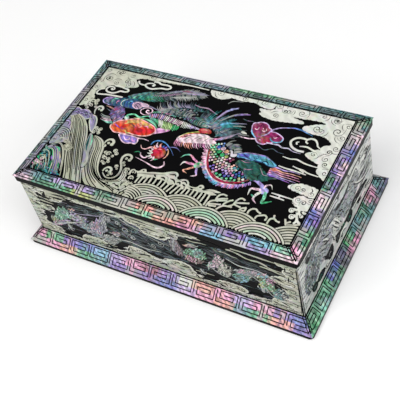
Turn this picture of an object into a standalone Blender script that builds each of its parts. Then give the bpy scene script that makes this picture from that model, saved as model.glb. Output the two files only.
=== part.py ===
"""Lacquered keepsake box for name cards: lift-off lid, hollow body and sloped plinth.

Metres, +Z up. The origin is at the middle of the underside, X runs along the
long side and -Y is the front.
"""

import math

import bmesh
import bpy

# Plinth
PLINTH_LENGTH = 0.2560      # across the lower edge, along X
PLINTH_DEPTH = 0.1580       # across the lower edge, along Y
PLINTH_EDGE = 0.0036        # height of the upright black edge
PLINTH_RISE = 0.0084        # height of the sloped band above that edge
PLINTH_LEDGE = 0.0004       # flat left between the slope and the wall
PLINTH_CORNER = 0.0035      # plan radius of the corners

# Body
BODY_LENGTH = 0.2374        # outside, at the foot of the walls
BODY_DEPTH = 0.1376         # outside, at the foot of the walls
BODY_HEIGHT = 0.0595
WALL_LEAN = 0.0010          # how far each wall leans in by its top
WALL = 0.0080               # thickness of the walls
FLOOR = 0.0055              # thickness of the floor
BODY_CORNER = 0.0012        # plan radius of the outside corners
WELL_CORNER = 0.0008        # plan radius of the inside corners at the floor
WELL_COVE = 0.0024          # rounding where the walls meet the floor

# Lid
LID_OVERHANG = 0.0023       # how far the lid reaches past the top of the walls
LID_EDGE = 0.0058           # height of the upright black edge
LID_RISE = 0.0024           # height of the sloped border above that edge
BORDER = 0.0096             # width of the sloped border in plan
LID_CORNER = 0.0035         # plan radius of the corners
PANEL_CORNER = 0.0008       # plan radius of the flat panel's corners
PLUG_DEPTH = 0.0040         # how far the lid's underside steps down into the well
PLUG_CLEARANCE = 0.0010     # play between that step and the walls

# Shared
GAP = 0.0003                # gap between pieces that rest on each other
ARRIS = 0.0007              # small rounding of the lacquered arrises
CORNER_STEPS = 8            # straight steps in each rounded corner
ARRIS_STEPS = 3             # straight steps in each rounded arris
SHARPEST = 0.0002           # smallest plan radius that a corner keeps

LACQUER_BLACK = (0.010, 0.009, 0.010, 1.0)
LACQUER_LID = (0.013, 0.012, 0.013, 1.0)
LACQUER_PLINTH = (0.011, 0.010, 0.010, 1.0)


def clear_scene():
    """Remove every object that the new file opens with."""
    for thing in list(bpy.data.objects):
        bpy.data.objects.remove(thing, do_unlink=True)


def lacquer(name, colour, roughness):
    """A dark gloss lacquer."""
    material = bpy.data.materials.new(name)
    material.use_nodes = True
    shader = material.node_tree.nodes["Principled BSDF"]
    shader.inputs["Base Color"].default_value = colour
    shader.inputs["Roughness"].default_value = roughness
    shader.inputs["Metallic"].default_value = 0.0
    return material


def ring(half_x, half_y, radius, z):
    """Points of a rectangle with rounded corners, counter-clockwise, at height z."""
    points = []
    radius = max(radius, SHARPEST)
    corners = ((1, 1, 0.0), (-1, 1, 0.5), (-1, -1, 1.0), (1, -1, 1.5))
    for side_x, side_y, start in corners:
        centre_x = side_x * (half_x - radius)
        centre_y = side_y * (half_y - radius)
        for step in range(CORNER_STEPS + 1):
            angle = math.pi * (start + 0.5 * step / CORNER_STEPS)
            x = centre_x + radius * math.cos(angle)
            y = centre_y + radius * math.sin(angle)
            points.append((x, y, z))
    return points


def loft(name, rings, material):
    """One closed body through a row of rings, flat at both ends."""
    mesh = bpy.data.meshes.new(name)
    shape = bmesh.new()
    rows = [[shape.verts.new(point) for point in points] for points in rings]
    for low, high in zip(rows, rows[1:]):
        count = len(low)
        for i in range(count):
            j = (i + 1) % count
            shape.faces.new((low[i], low[j], high[j], high[i]))
    shape.faces.new(list(reversed(rows[0])))
    shape.faces.new(rows[-1])
    bmesh.ops.recalc_face_normals(shape, faces=shape.faces)
    shape.to_mesh(mesh)
    shape.free()
    mesh.materials.append(material)
    mesh.shade_smooth()
    mesh.set_sharp_from_angle(angle=math.radians(28))
    thing = bpy.data.objects.new(name, mesh)
    bpy.context.scene.collection.objects.link(thing)
    return thing


def arris(half_x, half_y, radius, z, rising):
    """Rings that round the arris between a level face and an upright face.

    Rising starts on the level face below and ends on the upright face, and
    falling starts on the upright face and ends on the level face above.
    """
    rings = []
    for step in range(ARRIS_STEPS + 1):
        share = step / ARRIS_STEPS
        angle = 0.5 * math.pi * (share if rising else 1.0 - share)
        inset = ARRIS * (1.0 - math.sin(angle))
        drop = ARRIS * (1.0 - math.cos(angle))
        height = z + drop if rising else z - drop
        rings.append(ring(half_x - inset, half_y - inset, radius - inset, height))
    return rings


def build_plinth(z):
    """The base board: upright edge, sloped band and the level seat of the body."""
    half_x = 0.5 * PLINTH_LENGTH
    half_y = 0.5 * PLINTH_DEPTH
    seat_x = 0.5 * BODY_LENGTH + PLINTH_LEDGE
    seat_y = 0.5 * BODY_DEPTH + PLINTH_LEDGE
    top = z + PLINTH_EDGE + PLINTH_RISE
    rings = arris(half_x, half_y, PLINTH_CORNER, z, True)
    rings.append(ring(half_x, half_y, PLINTH_CORNER, z + PLINTH_EDGE))
    rings.append(ring(seat_x, seat_y, BODY_CORNER + PLINTH_LEDGE, top))
    loft("plinth", rings, lacquer("plinth_lacquer", LACQUER_PLINTH, 0.22))
    return top


def well_rings(half_x, half_y, floor_z, rim_z):
    """The inside of the body, from its rim down to its floor."""
    rings = [ring(half_x, half_y, WELL_CORNER + WELL_COVE, rim_z)]
    for step in range(ARRIS_STEPS + 1):
        angle = 0.5 * math.pi * step / ARRIS_STEPS
        inset = WELL_COVE * (1.0 - math.cos(angle))
        height = floor_z + WELL_COVE * (1.0 - math.sin(angle))
        radius = WELL_CORNER + WELL_COVE - inset
        rings.append(ring(half_x - inset, half_y - inset, radius, height))
    return rings


def build_body(z):
    """The hollow body, open at the top, whose walls lean in a little."""
    foot_x = 0.5 * BODY_LENGTH
    foot_y = 0.5 * BODY_DEPTH
    rim_x = foot_x - WALL_LEAN
    rim_y = foot_y - WALL_LEAN
    rim_z = z + BODY_HEIGHT
    rings = [ring(foot_x, foot_y, BODY_CORNER, z)]
    rings += arris(rim_x, rim_y, BODY_CORNER, rim_z, False)
    rings += well_rings(rim_x - WALL, rim_y - WALL, z + FLOOR, rim_z)
    loft("box_body", rings, lacquer("body_lacquer", LACQUER_BLACK, 0.20))
    return rim_z


def build_lid(z):
    """The lid: a step that drops into the well, an upright edge, a sloped border, a panel."""
    rim_x = 0.5 * BODY_LENGTH - WALL_LEAN
    rim_y = 0.5 * BODY_DEPTH - WALL_LEAN
    half_x = rim_x + LID_OVERHANG
    half_y = rim_y + LID_OVERHANG
    plug_x = rim_x - WALL - PLUG_CLEARANCE
    plug_y = rim_y - WALL - PLUG_CLEARANCE
    plug_radius = WELL_CORNER + WELL_COVE - PLUG_CLEARANCE
    edge_z = z + LID_EDGE
    rings = arris(plug_x, plug_y, plug_radius, z - PLUG_DEPTH, True)
    rings.append(ring(plug_x, plug_y, plug_radius, z))
    rings += arris(half_x, half_y, LID_CORNER, z, True)
    rings.append(ring(half_x, half_y, LID_CORNER, edge_z))
    rings.append(ring(half_x - BORDER, half_y - BORDER, PANEL_CORNER, edge_z + LID_RISE))
    loft("lid", rings, lacquer("lid_lacquer", LACQUER_LID, 0.18))


def main():
    clear_scene()
    seat = build_plinth(0.0)
    rim = build_body(seat + GAP)
    build_lid(rim + GAP)


main()
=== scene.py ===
"""Black gloss lacquer and mother of pearl inlay for a lidded name card box.

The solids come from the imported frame. Every shell shape is a thin closed plate
that lies on the lacquer, drawn in millimetres on a flat face of the box.
"""
import math
import random

import bpy
import numpy as np
from mathutils import Matrix, Vector
from mathutils.geometry import delaunay_2d_cdt


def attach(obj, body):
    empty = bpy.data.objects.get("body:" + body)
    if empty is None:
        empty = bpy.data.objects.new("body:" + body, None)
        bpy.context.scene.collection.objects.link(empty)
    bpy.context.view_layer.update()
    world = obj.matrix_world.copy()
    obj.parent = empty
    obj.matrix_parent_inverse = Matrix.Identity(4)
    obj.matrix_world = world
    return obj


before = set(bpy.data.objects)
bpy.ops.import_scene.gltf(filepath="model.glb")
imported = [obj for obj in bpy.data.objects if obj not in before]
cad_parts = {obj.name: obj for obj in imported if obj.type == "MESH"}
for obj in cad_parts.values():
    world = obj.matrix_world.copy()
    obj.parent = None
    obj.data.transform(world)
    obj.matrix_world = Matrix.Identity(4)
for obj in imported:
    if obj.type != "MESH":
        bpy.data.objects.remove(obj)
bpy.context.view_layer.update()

bl_info = {
    "name": "Lacquer Box Inlay",
    "version": (1, 0, 0),
    "blender": (4, 5, 0),
    "location": "3D View > Sidebar > Lacquer Box",
    "description": "Dresses a lidded box in black lacquer and mother of pearl inlay",
    "category": "Object",
}

MM = 0.001
SIDES = ("front", "right", "back", "left")
SILVER, COLOURED, DARK = range(3)
NEAR = 1e-5                 # metres within which points of a solid share a level or an edge

# Limits of a plate or a band, in millimetres
SMALLEST_AREA = 0.01        # in square millimetres
SHORTEST_SIDE = 0.004
THINNEST_BAND = 0.06
CLIP_STEP = 0.3             # between the points of a path that the fence cuts
LAYER_SHAPES = 24           # shapes in a row that each stand at a height of their own
SHAPE_STEP = 0.0007         # between those heights

# Seeds of the random draws
SEEDS = {"lid_clouds": 5, "lid_sea": 11, "lid_dragon": 23, "lid_border": 41, "plinth_border": 43,
    "front": 31, "right": 32, "back": 33, "left": 34, "corner": 41}

# Shell tints in 0 to 255 steps, and the finish that each one takes
TINTS = {
    "pearl": ((212, 213, 203), SILVER, "Brightest silver shell"),
    "ivory": ((192, 193, 176), SILVER, "Warm silver shell"),
    "khaki": ((168, 170, 148), SILVER, "Greenish silver shell"),
    "ash": ((150, 153, 149), SILVER, "Grey silver shell"),
    "lilac_grey": ((136, 132, 156), SILVER, "Silver shell with a violet cast"),
    "moss": ((146, 156, 134), SILVER, "Green-grey silver shell"),
    "silver": ((182, 185, 180), SILVER, "Cool silver shell"),
    "slate": ((96, 110, 116), COLOURED, "Blue-grey shell"),
    "charcoal": ((62, 76, 84), COLOURED, "Darkest blue-grey shell"),
    "deep_teal": ((28, 84, 88), COLOURED, "Deep teal shell"),
    "teal": ((42, 138, 140), COLOURED, "Teal shell"),
    "mint": ((120, 214, 170), COLOURED, "Pale green shell"),
    "green": ((52, 168, 108), COLOURED, "Green shell"),
    "emerald": ((28, 134, 96), COLOURED, "Deep green shell"),
    "lime": ((192, 208, 112), COLOURED, "Yellow-green shell"),
    "blue": ((56, 88, 190), COLOURED, "Blue shell"),
    "sky": ((98, 178, 214), COLOURED, "Pale blue shell"),
    "navy": ((34, 52, 104), COLOURED, "Darkest blue shell"),
    "violet": ((124, 88, 184), COLOURED, "Violet shell"),
    "lavender": ((186, 160, 222), COLOURED, "Pale violet shell"),
    "magenta": ((140, 28, 80), COLOURED, "Magenta shell"),
    "crimson": ((160, 16, 26), COLOURED, "Dark red shell"),
    "red": ((208, 42, 12), COLOURED, "Red shell"),
    "orange": ((228, 98, 30), COLOURED, "Orange shell"),
    "salmon": ((236, 164, 140), COLOURED, "Pale orange-pink shell"),
    "pink": ((232, 150, 190), COLOURED, "Pink shell"),
    "blush": ((244, 208, 222), COLOURED, "Palest pink shell"),
    "line": ((11, 11, 12), DARK, "Lacquer that fills the engraved lines"),
}


def srgb(red, green, blue):
    """A colour in 0 to 255 steps as the linear numbers that a shader takes."""
    steps = (channel / 255.0 for channel in (red, green, blue))
    return tuple(s / 12.92 if s <= 0.04045 else ((s + 0.055) / 1.055) ** 2.4 for s in steps)


# Settings

def tint_property(name):
    """A colour property for one tint."""
    colour, _, words = TINTS[name]
    title = name.replace("_", " ").capitalize()
    return bpy.props.FloatVectorProperty(
        name=title, description=words, subtype="COLOR", size=3, min=0.0, max=1.0,
        default=srgb(*colour))


class BOX_PG_tints(bpy.types.PropertyGroup):
    """One colour for each tint of shell."""
    __annotations__ = {name: tint_property(name) for name in TINTS}


def millimetres(name, words, default):
    """A size property that is given in metres and shown as a length."""
    return bpy.props.FloatProperty(
        name=name, description=words, default=default * MM, min=0.0, subtype="DISTANCE", unit="LENGTH")


class BOX_PG_inlay(bpy.types.PropertyGroup):
    """Sizes of the inlay."""
    skin: millimetres("Shell thickness", "How far the lowest shell stands off the lacquer", 0.04)
    level: millimetres("Layer step", "Height from one layer of shell to the next", 0.02)
    margin: millimetres("Panel margin", "Lacquer left bare round the lid's picture", 0.7)
    line: millimetres("Engraved line", "Width of a main engraved line", 0.55)
    key_line: millimetres("Key line", "Width of the dark line of the key pattern", 0.8)
    corner: millimetres("Corner radius", "Plan radius of the body's rounded corners", 1.2)
    key_pitch: millimetres("Key pitch", "Length of one turn of the key pattern", 20.0)
    fan_pitch: millimetres("Fan pitch", "Distance between the arcs of a wave fan", 2.25)
    scroll_gap: millimetres("Scroll gap", "Distance between the scrolls cut in the clouds", 9.0)


class BOX_PG_stage(bpy.types.PropertyGroup):
    """Camera, lights and floor."""
    camera: bpy.props.FloatVectorProperty(
        name="Camera", description="Place of the camera", subtype="XYZ", unit="LENGTH", size=3,
        default=(0.2722, -0.3234, 0.4946))
    azimuth: bpy.props.FloatProperty(
        name="Azimuth", description="Turn of the view from the front towards the right side",
        default=math.radians(40.41), subtype="ANGLE", unit="ROTATION")
    elevation: bpy.props.FloatProperty(
        name="Elevation", description="How far the view looks down",
        default=math.radians(48.52), subtype="ANGLE", unit="ROTATION")
    roll: bpy.props.FloatProperty(
        name="Roll", description="Tilt of the camera about its own view",
        default=math.radians(-16.28), subtype="ANGLE", unit="ROTATION")
    lens: bpy.props.FloatProperty(
        name="Lens", description="Focal length of the camera in millimetres", default=70.78, min=1.0)
    floor: bpy.props.FloatProperty(
        name="Floor", description="Width of the floor", default=6.0, subtype="DISTANCE", unit="LENGTH")
    sky: bpy.props.FloatProperty(
        name="Sky", description="Strength of the even light from all round", default=0.25, min=0.0)


# Curves on a flat face, as rows of points in millimetres

MITRE_LIMIT = 0.55          # lowest cosine that a turn of an offset path is mitred for
LOBE_STEPS = 400            # points along a guide from which its lobes are cut
SPOT_TRIES = 24             # tries for each spot that a scatter has room for


def smooth(points, steps=6, closed=False):
    """A smooth curve that passes through the points."""
    knots = np.asarray(points, float)
    if closed:
        knots = np.vstack((knots[-1], knots, knots[0], knots[1]))
    else:
        knots = np.vstack((2 * knots[0] - knots[1], knots, 2 * knots[-1] - knots[-2]))
    s = np.linspace(0.0, 1.0, steps, endpoint=False)[:, None]
    rows = []
    for a, b, c, d in zip(knots, knots[1:], knots[2:], knots[3:]):
        cubic = 3 * b - a - 3 * c + d
        square = 2 * a - 5 * b + 4 * c - d
        rows.append(0.5 * (2 * b + (c - a) * s + square * s**2 + cubic * s**3))
    curve = np.vstack(rows)
    return curve if closed else np.vstack((curve, knots[-2]))


def length(path):
    """Length of a path."""
    return float(np.linalg.norm(np.diff(path, axis=0), axis=1).sum())


def even(path, count):
    """The path again, with count points at equal distances."""
    path = np.asarray(path, float)
    steps = np.linalg.norm(np.diff(path, axis=0), axis=1)
    reach = np.concatenate(([0.0], np.cumsum(steps)))
    at = np.linspace(0.0, reach[-1], max(2, int(count)))
    return np.column_stack([np.interp(at, reach, path[:, k]) for k in (0, 1)])


def left_of(path):
    """At each point, the vector that moves the path one millimetre to its left."""
    step = np.diff(path, axis=0)
    step = step / np.maximum(np.linalg.norm(step, axis=1), 1e-9)[:, None]
    left = np.column_stack((-step[:, 1], step[:, 0]))
    before = np.vstack((left[:1], left))
    after = np.vstack((left, left[-1:]))
    middle = before + after
    middle = middle / np.maximum(np.linalg.norm(middle, axis=1), 1e-6)[:, None]
    share = np.maximum(np.sum(middle * before, axis=1), MITRE_LIMIT)
    return middle / share[:, None]


def offset(path, distance):
    """The path moved to its left by a distance, or by one distance for each point."""
    path = np.asarray(path, float)
    distance = np.broadcast_to(np.asarray(distance, float), len(path))
    return path + left_of(path) * distance[:, None]


def between(first, second, share, count=26):
    """The curve that lies between two curves."""
    return (1.0 - share) * even(first, count) + share * even(second, count)


def arc(x, y, radius, start, end, steps=16):
    """An arc between two angles in degrees."""
    angles = np.radians(np.linspace(start, end, steps + 1))
    return np.column_stack((x + radius * np.cos(angles), y + radius * np.sin(angles)))


def disc(x, y, radius, steps=16):
    """The outline of a disc."""
    return arc(x, y, radius, 0.0, 360.0 * (1.0 - 1.0 / steps), steps - 1)


def spiral(x, y, radius, turns=1.4, start=0.0, hand=1, core=0.12, steps=26):
    """A spiral from its eye outwards. Hand is 1 for one that opens to the left, or -1."""
    share = np.linspace(0.0, 1.0, steps)
    angles = math.radians(start) + hand * 2.0 * math.pi * turns * share
    reach = radius * (core + (1.0 - core) * share**1.15)
    return np.column_stack((x + reach * np.cos(angles), y + reach * np.sin(angles)))


def swell(count, start, middle, end, peak=0.4):
    """Widths that run from start over middle to end."""
    share = np.linspace(0.0, 1.0, count)
    return np.interp(share, (0.0, peak, 1.0), (start, middle, end))


def area(outline):
    """Signed area of an outline, above zero when it runs counter-clockwise."""
    x, y = np.asarray(outline, float).T
    return 0.5 * float(np.dot(x, np.roll(y, -1)) - np.dot(y, np.roll(x, -1)))


def holds(outline, x, y):
    """Whether a point is inside an outline."""
    px, py = np.asarray(outline, float).T
    qx, qy = np.roll(px, -1), np.roll(py, -1)
    crosses = (py > y) != (qy > y)
    height = np.where(qy == py, 1.0, qy - py)
    return bool(np.count_nonzero(crosses & (x < (qx - px) * (y - py) / height + px)) % 2)


def scalloped(guide, corners, lobe, puff, rng, steps=6):
    """The guide curve broken into rounded lobes that bulge away from the shape's inside."""
    whole = np.vstack((guide, corners)) if len(corners) else guide
    outward = -1.0 if area(whole) > 0.0 else 1.0
    total = length(guide)
    cuts = [0.0]
    while cuts[-1] < total - 0.5 * lobe:
        cuts.append(cuts[-1] + lobe * rng.uniform(0.6, 1.4))
    cuts = np.array(cuts) * total / cuts[-1]
    fine = even(guide, LOBE_STEPS)
    reach = np.linspace(0.0, total, LOBE_STEPS)
    stops = np.column_stack([np.interp(cuts, reach, fine[:, k]) for k in (0, 1)])
    angles = np.linspace(0.0, math.pi, steps, endpoint=False)[:, None]
    rows = []
    for p, q in zip(stops, stops[1:]):
        chord = q - p
        side = np.array((-chord[1], chord[0])) * outward
        rows.append(p + chord * (1.0 - np.cos(angles)) / 2.0 + side * puff * np.sin(angles))
    return np.vstack(rows + [stops[-1:]])


def scatter(outline, gap, margin, rng):
    """Points inside an outline that keep a gap to each other and a margin to its edge."""
    low, high = np.min(outline, axis=0), np.max(outline, axis=0)
    edge = np.asarray(outline, float)
    spots = []
    tries = int(SPOT_TRIES * (high[0] - low[0]) * (high[1] - low[1]) / gap**2) + 20
    for _ in range(tries):
        x, y = rng.uniform(low[0], high[0]), rng.uniform(low[1], high[1])
        if any(math.hypot(x - u, y - v) < gap for u, v in spots):
            continue
        if np.min(np.hypot(edge[:, 0] - x, edge[:, 1] - y)) < margin or not holds(outline, x, y):
            continue
        spots.append((x, y))
    return spots


# Faces, plates and ribbons

class Face:
    """A flat face of the box, with a convex fence that the inlay stays inside."""

    def __init__(self, origin, across, up, fence):
        self.origin = np.array(origin, float)
        self.across = np.array(across, float) / np.linalg.norm(across)
        self.up = np.array(up, float) / np.linalg.norm(up)
        self.out = np.cross(self.across, self.up)
        self.fence = [tuple(map(float, corner)) for corner in fence]

    def place(self, points, height):
        """Points of the face, in metres, at a height in millimetres above it."""
        points = np.asarray(points, float)
        spread = points[:, :1] * self.across + points[:, 1:] * self.up
        return self.origin + (spread + height * self.out) * MM

    def edges(self):
        """The fence's sides, each as its two ends."""
        return list(zip(self.fence, self.fence[1:] + self.fence[:1]))

    def inside(self, points):
        """For each point, whether the fence holds it."""
        points = np.asarray(points, float)
        held = np.ones(len(points), bool)
        for (ax, ay), (bx, by) in self.edges():
            turn = (bx - ax) * (points[:, 1] - ay) - (by - ay) * (points[:, 0] - ax)
            held &= turn >= -1e-9
        return held

    def clip_outline(self, points):
        """The part of an outline inside the fence."""
        if self.inside(points).all():
            return np.asarray(points, float)
        kept = [tuple(point) for point in points]
        for (ax, ay), (bx, by) in self.edges():
            source, kept = kept, []
            for here, there in zip(source, source[1:] + source[:1]):
                turn_here = (bx - ax) * (here[1] - ay) - (by - ay) * (here[0] - ax)
                turn_there = (bx - ax) * (there[1] - ay) - (by - ay) * (there[0] - ax)
                if turn_here >= 0.0:
                    kept.append(here)
                if (turn_here >= 0.0) != (turn_there >= 0.0):
                    share = turn_here / (turn_here - turn_there)
                    kept.append((here[0] + share * (there[0] - here[0]),
                        here[1] + share * (there[1] - here[1])))
            if len(kept) < 3:
                return np.zeros((0, 2))
        return np.array(kept)

    def clip_path(self, path, widths):
        """The stretches of a path inside the fence, each with its widths."""
        if self.inside(path).all():
            return [(path, widths)]
        count = max(8, int(length(path) / CLIP_STEP))
        steps = np.linspace(0.0, 1.0, len(path))
        fine_at = np.linspace(0.0, 1.0, count)
        fine = np.column_stack([np.interp(fine_at, steps, path[:, k]) for k in (0, 1)])
        fine_widths = np.interp(fine_at, steps, widths)
        held = self.inside(fine)
        runs, start = [], None
        for i, inside in enumerate(list(held) + [False]):
            if inside and start is None:
                start = i
            if not inside and start is not None:
                if i - start > 2:
                    stretch = slice(start, i)
                    share = np.linspace(0, i - start - 1, max(3, (i - start) // 3)).astype(int)
                    runs.append((fine[stretch][share], fine_widths[stretch][share]))
                start = None
        return runs


class Inlay:
    """Closed thin plates of shell and lacquer, gathered into one piece."""

    def __init__(self):
        sizes = bpy.context.scene.box_inlay
        self.skin = sizes.skin / MM
        self.level = sizes.level / MM
        self.points, self.faces, self.looks, self.colours = [], [], [], []
        self.count = 0
        self.shapes = 0

    def height(self, level):
        """Height of a layer. Shapes that follow each other differ by less than a micrometre."""
        self.shapes += 1
        return self.skin + level * self.level + (self.shapes % LAYER_SHAPES) * SHAPE_STEP

    def keep(self, points, faces, tint):
        """Adds one closed shape."""
        colour, look = shade(tint)
        self.faces.extend(tuple(index + self.count for index in face) for face in faces)
        self.looks.extend([look] * len(faces))
        self.points.append(points)
        self.colours.append(np.tile((*colour, 1.0), (len(points), 1)))
        self.count += len(points)

    def plate(self, face, outline, level, tint):
        """A flat plate with the given outline."""
        outline = face.clip_outline(outline)
        if len(outline) < 3 or abs(area(outline)) < SMALLEST_AREA:
            return
        apart = np.linalg.norm(outline - np.roll(outline, 1, axis=0), axis=1) > SHORTEST_SIDE
        outline = outline[apart]
        if len(outline) < 3:
            return
        if area(outline) < 0.0:
            outline = outline[::-1]
        if len(outline) > 12:
            spots, _, tiles, *_ = delaunay_2d_cdt(
                [Vector(point) for point in outline], [], [list(range(len(outline)))], 1, 1e-4)
            outline = np.array(spots)
        else:
            tiles = [list(range(len(outline)))]
        n = len(outline)
        walls = {(a, b) for tile in tiles for a, b in zip(tile, tile[1:] + tile[:1])}
        walls = [(a, b) for a, b in walls if (b, a) not in walls]
        points = np.vstack((face.place(outline, self.height(level)), face.place(outline, 0.0)))
        faces = [tuple(tile) for tile in tiles] + [tuple(n + i for i in reversed(tile)) for tile in tiles]
        faces += [(n + a, n + b, b, a) for a, b in sorted(walls)]
        self.keep(points, faces, tint)

    def ribbon(self, face, path, widths, level, tint):
        """A flat band along a path, as wide as the widths say."""
        path = np.asarray(path, float)
        widths = np.broadcast_to(np.asarray(widths, float), len(path))
        for run, run_widths in face.clip_path(path, widths):
            self.band(face, run, np.maximum(run_widths, THINNEST_BAND), level, tint)

    def band(self, face, path, widths, level, tint):
        """One stretch of a ribbon."""
        side = left_of(path) * widths[:, None] / 2.0
        top, n = self.height(level), len(path)
        rows = [face.place(path + side, top), face.place(path - side, top)]
        rows += [face.place(path + side, 0.0), face.place(path - side, 0.0)]
        faces = []
        for i in range(n - 1):
            j = i + 1
            faces.append((n + i, n + j, j, i))
            faces.append((2 * n + i, 2 * n + j, 3 * n + j, 3 * n + i))
            faces.append((3 * n + i, 3 * n + j, n + j, n + i))
            faces.append((2 * n + j, 2 * n + i, i, j))
        faces.append((3 * n, n, 0, 2 * n))
        faces.append((3 * n - 1, n - 1, 2 * n - 1, 4 * n - 1))
        self.keep(np.vstack(rows), faces, tint)

    def build(self, name):
        """Makes the piece from everything that was kept."""
        mesh = bpy.data.meshes.new(name)
        mesh.from_pydata(np.vstack(self.points).tolist(), [], self.faces)
        for material in (shell_material("silver_shell"), shell_material("coloured_shell"), line_material()):
            mesh.materials.append(material)
        mesh.polygons.foreach_set("material_index", self.looks)
        tints = mesh.color_attributes.new("tint", "FLOAT_COLOR", "POINT")
        tints.data.foreach_set("color", np.vstack(self.colours).ravel())
        mesh.update()
        piece = bpy.data.objects.new(name, mesh)
        bpy.context.scene.collection.objects.link(piece)
        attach(piece, "root")


class Pen:
    """Draws on one face, about a point of it, turned, scaled or mirrored."""

    def __init__(self, inlay, face, x=0.0, y=0.0, turn=0.0, scale=1.0, mirror=False):
        angle = math.radians(turn)
        cos, sin = math.cos(angle) * scale, math.sin(angle) * scale
        flip = -1.0 if mirror else 1.0
        self.inlay, self.face, self.scale = inlay, face, scale
        self.turn = np.array(((cos * flip, -sin), (sin * flip, cos)))
        self.spot = np.array((x, y), float)

    def at(self, x, y, turn=0.0, scale=1.0, mirror=False):
        """A pen about another point, turned, scaled or mirrored further."""
        made = Pen(self.inlay, self.face, 0.0, 0.0, turn, scale, mirror)
        made.turn = self.turn @ made.turn
        made.spot = self.turn @ np.array((x, y), float) + self.spot
        made.scale = self.scale * scale
        return made

    def real(self, points):
        """Points of this pen on the face."""
        return np.asarray(points, float) @ self.turn.T + self.spot

    def plate(self, outline, level, tint):
        """A flat plate with the given outline."""
        self.inlay.plate(self.face, self.real(outline), level, tint)

    def ribbon(self, path, widths, level, tint):
        """A flat band along a path."""
        self.inlay.ribbon(self.face, self.real(path), np.asarray(widths, float) * self.scale, level, tint)

    def stroke(self, points, width, level, tint, start=0.4, end=0.25, peak=0.45):
        """A curved band through a few points that tapers to its ends."""
        path = smooth(points, 5)
        self.ribbon(path, width * swell(len(path), start, 1.0, end, peak), level, tint)

    def shape(self, points, level, tint, edge=None, width=0.7):
        """A plate with a rounded outline and, where an edge tint is given, a band along it."""
        path = smooth(points, 5, True)
        self.plate(path, level, tint)
        if edge:
            self.ribbon(np.vstack((path, path[:2])), width, level + 1, edge)


def shade(tint):
    """The colour and the finish of a tint: a name, or two tints and the share of the second."""
    if isinstance(tint, str):
        return tuple(getattr(bpy.context.scene.box_tints, tint)), TINTS[tint][1]
    (first, look), (second, _) = shade(tint[0]), shade(tint[1])
    return tuple((1.0 - tint[2]) * a + tint[2] * b for a, b in zip(first, second)), look


# Motifs: clouds

def scroll(pen, x, y, radius, start, hand, level, width, tint="line"):
    """A spiral with a short tail."""
    curl = spiral(x, y, radius, 1.45, start, hand)
    heading = curl[-1] - curl[-2]
    heading = heading / np.linalg.norm(heading)
    aside = np.array((-heading[1], heading[0])) * hand
    tail = [curl[-1] + heading * radius * k + aside * radius * 0.16 * k * k for k in (0.35, 0.7, 1.05)]
    path = np.vstack((curl, tail))
    pen.ribbon(path, swell(len(path), 0.55 * width, width, 0.2 * width), level, tint)


def cloud(pen, guide, corners, tint, rng, lobe=5.0, puff=0.3, level=1, gap=9.0, line=0.5):
    """A bank of cloud: a plate with a lobed edge, with scrolls cut in it."""
    edge = scalloped(smooth(guide, 8), np.array(corners, float).reshape(-1, 2), lobe, puff, rng)
    outline = np.vstack((edge, corners)) if len(corners) else edge
    pen.plate(outline, level, tint)
    for x, y in scatter(outline, gap, 0.3 * gap, rng):
        size = rng.uniform(0.24, 0.36) * gap
        scroll(pen, x, y, size, rng.uniform(0, 360), rng.choice((-1, 1)), level + 1, line)
        angle = rng.uniform(0, 360)
        side = arc(x, y, size * 1.75, angle, angle + rng.uniform(70, 130), 7)
        pen.ribbon(side, swell(len(side), 0.12, line, 0.12, 0.5), level + 1, "line")


def ribbon_cloud(pen, points, width, level, tint="pearl"):
    """A cloud drawn with one band, as its outline and inner scroll."""
    path = smooth(points, 7)
    pen.ribbon(path, swell(len(path), 0.55 * width, width, 1.15 * width, 0.25), level, tint)


# Motifs: water

def wave_body(pen, outer, inner, lines, tints, level, width, rng, count=30):
    """A moving sheet of water: streaks of shell between two curves, with long lines cut between them."""
    outer, inner = even(smooth(outer), count), even(smooth(inner), count)
    pen.plate(np.vstack((outer, inner[::-1])), level, tints[0])
    for k in range(lines):
        path = between(outer, inner, (k + 0.5) / lines, count)
        path = path[rng.randint(0, count // 3):rng.randint(count // 2, count)]
        pen.ribbon(path, swell(len(path), 0.3, 1.3, 0.3, 0.5), level + 1, rng.choice(tints))
    for k in range(1, lines):
        start = rng.choice((0.0, 0.0, 0.06, 0.12, 0.2))
        end = rng.choice((1.0, 1.0, 0.92, 0.84))
        path = between(outer, inner, (k + rng.uniform(-0.12, 0.12)) / lines, count)
        path = path[int(start * count):max(4, int(end * count))]
        wide = width * rng.uniform(0.8, 1.3)
        pen.ribbon(path, swell(len(path), 0.4 * wide, wide, 0.7 * wide, 0.5), level + 2, "line")


def crook(pen, tint="ivory", level=9, tail=2):
    """A curl of foam one millimetre in radius: a hooked band with a knob, and a ball under the hook."""
    path = ((0.74, -0.12), (0.66, 0.42), (0.12, 0.78), (-0.48, 0.6), (-0.8, 0.02), (-0.74, -0.62),
        (-0.42, -1.25), (0.1, -1.8), (0.8, -2.2))[:5 + tail]
    pen.stroke(path, 0.52, level, tint, 0.9, 0.35, 0.3)
    pen.plate(disc(0.7, -0.16, 0.34, 12), level, tint)
    pen.plate(disc(-0.08, -0.16, 0.27, 10), level, tint)


def knobs(pen, spots, tint="ivory", level=9):
    """Round knobs of foam, each given as place and radius, with a curl cut in it."""
    for k, (x, y, radius) in enumerate(spots):
        pen.plate(disc(x, y, radius, 16), level + k % 2, tint)
        turn = 137.0 * k
        pen.ribbon(arc(x, y, 0.5 * radius, turn, turn + 230, 7), 0.36, level + 2, "line")


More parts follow.
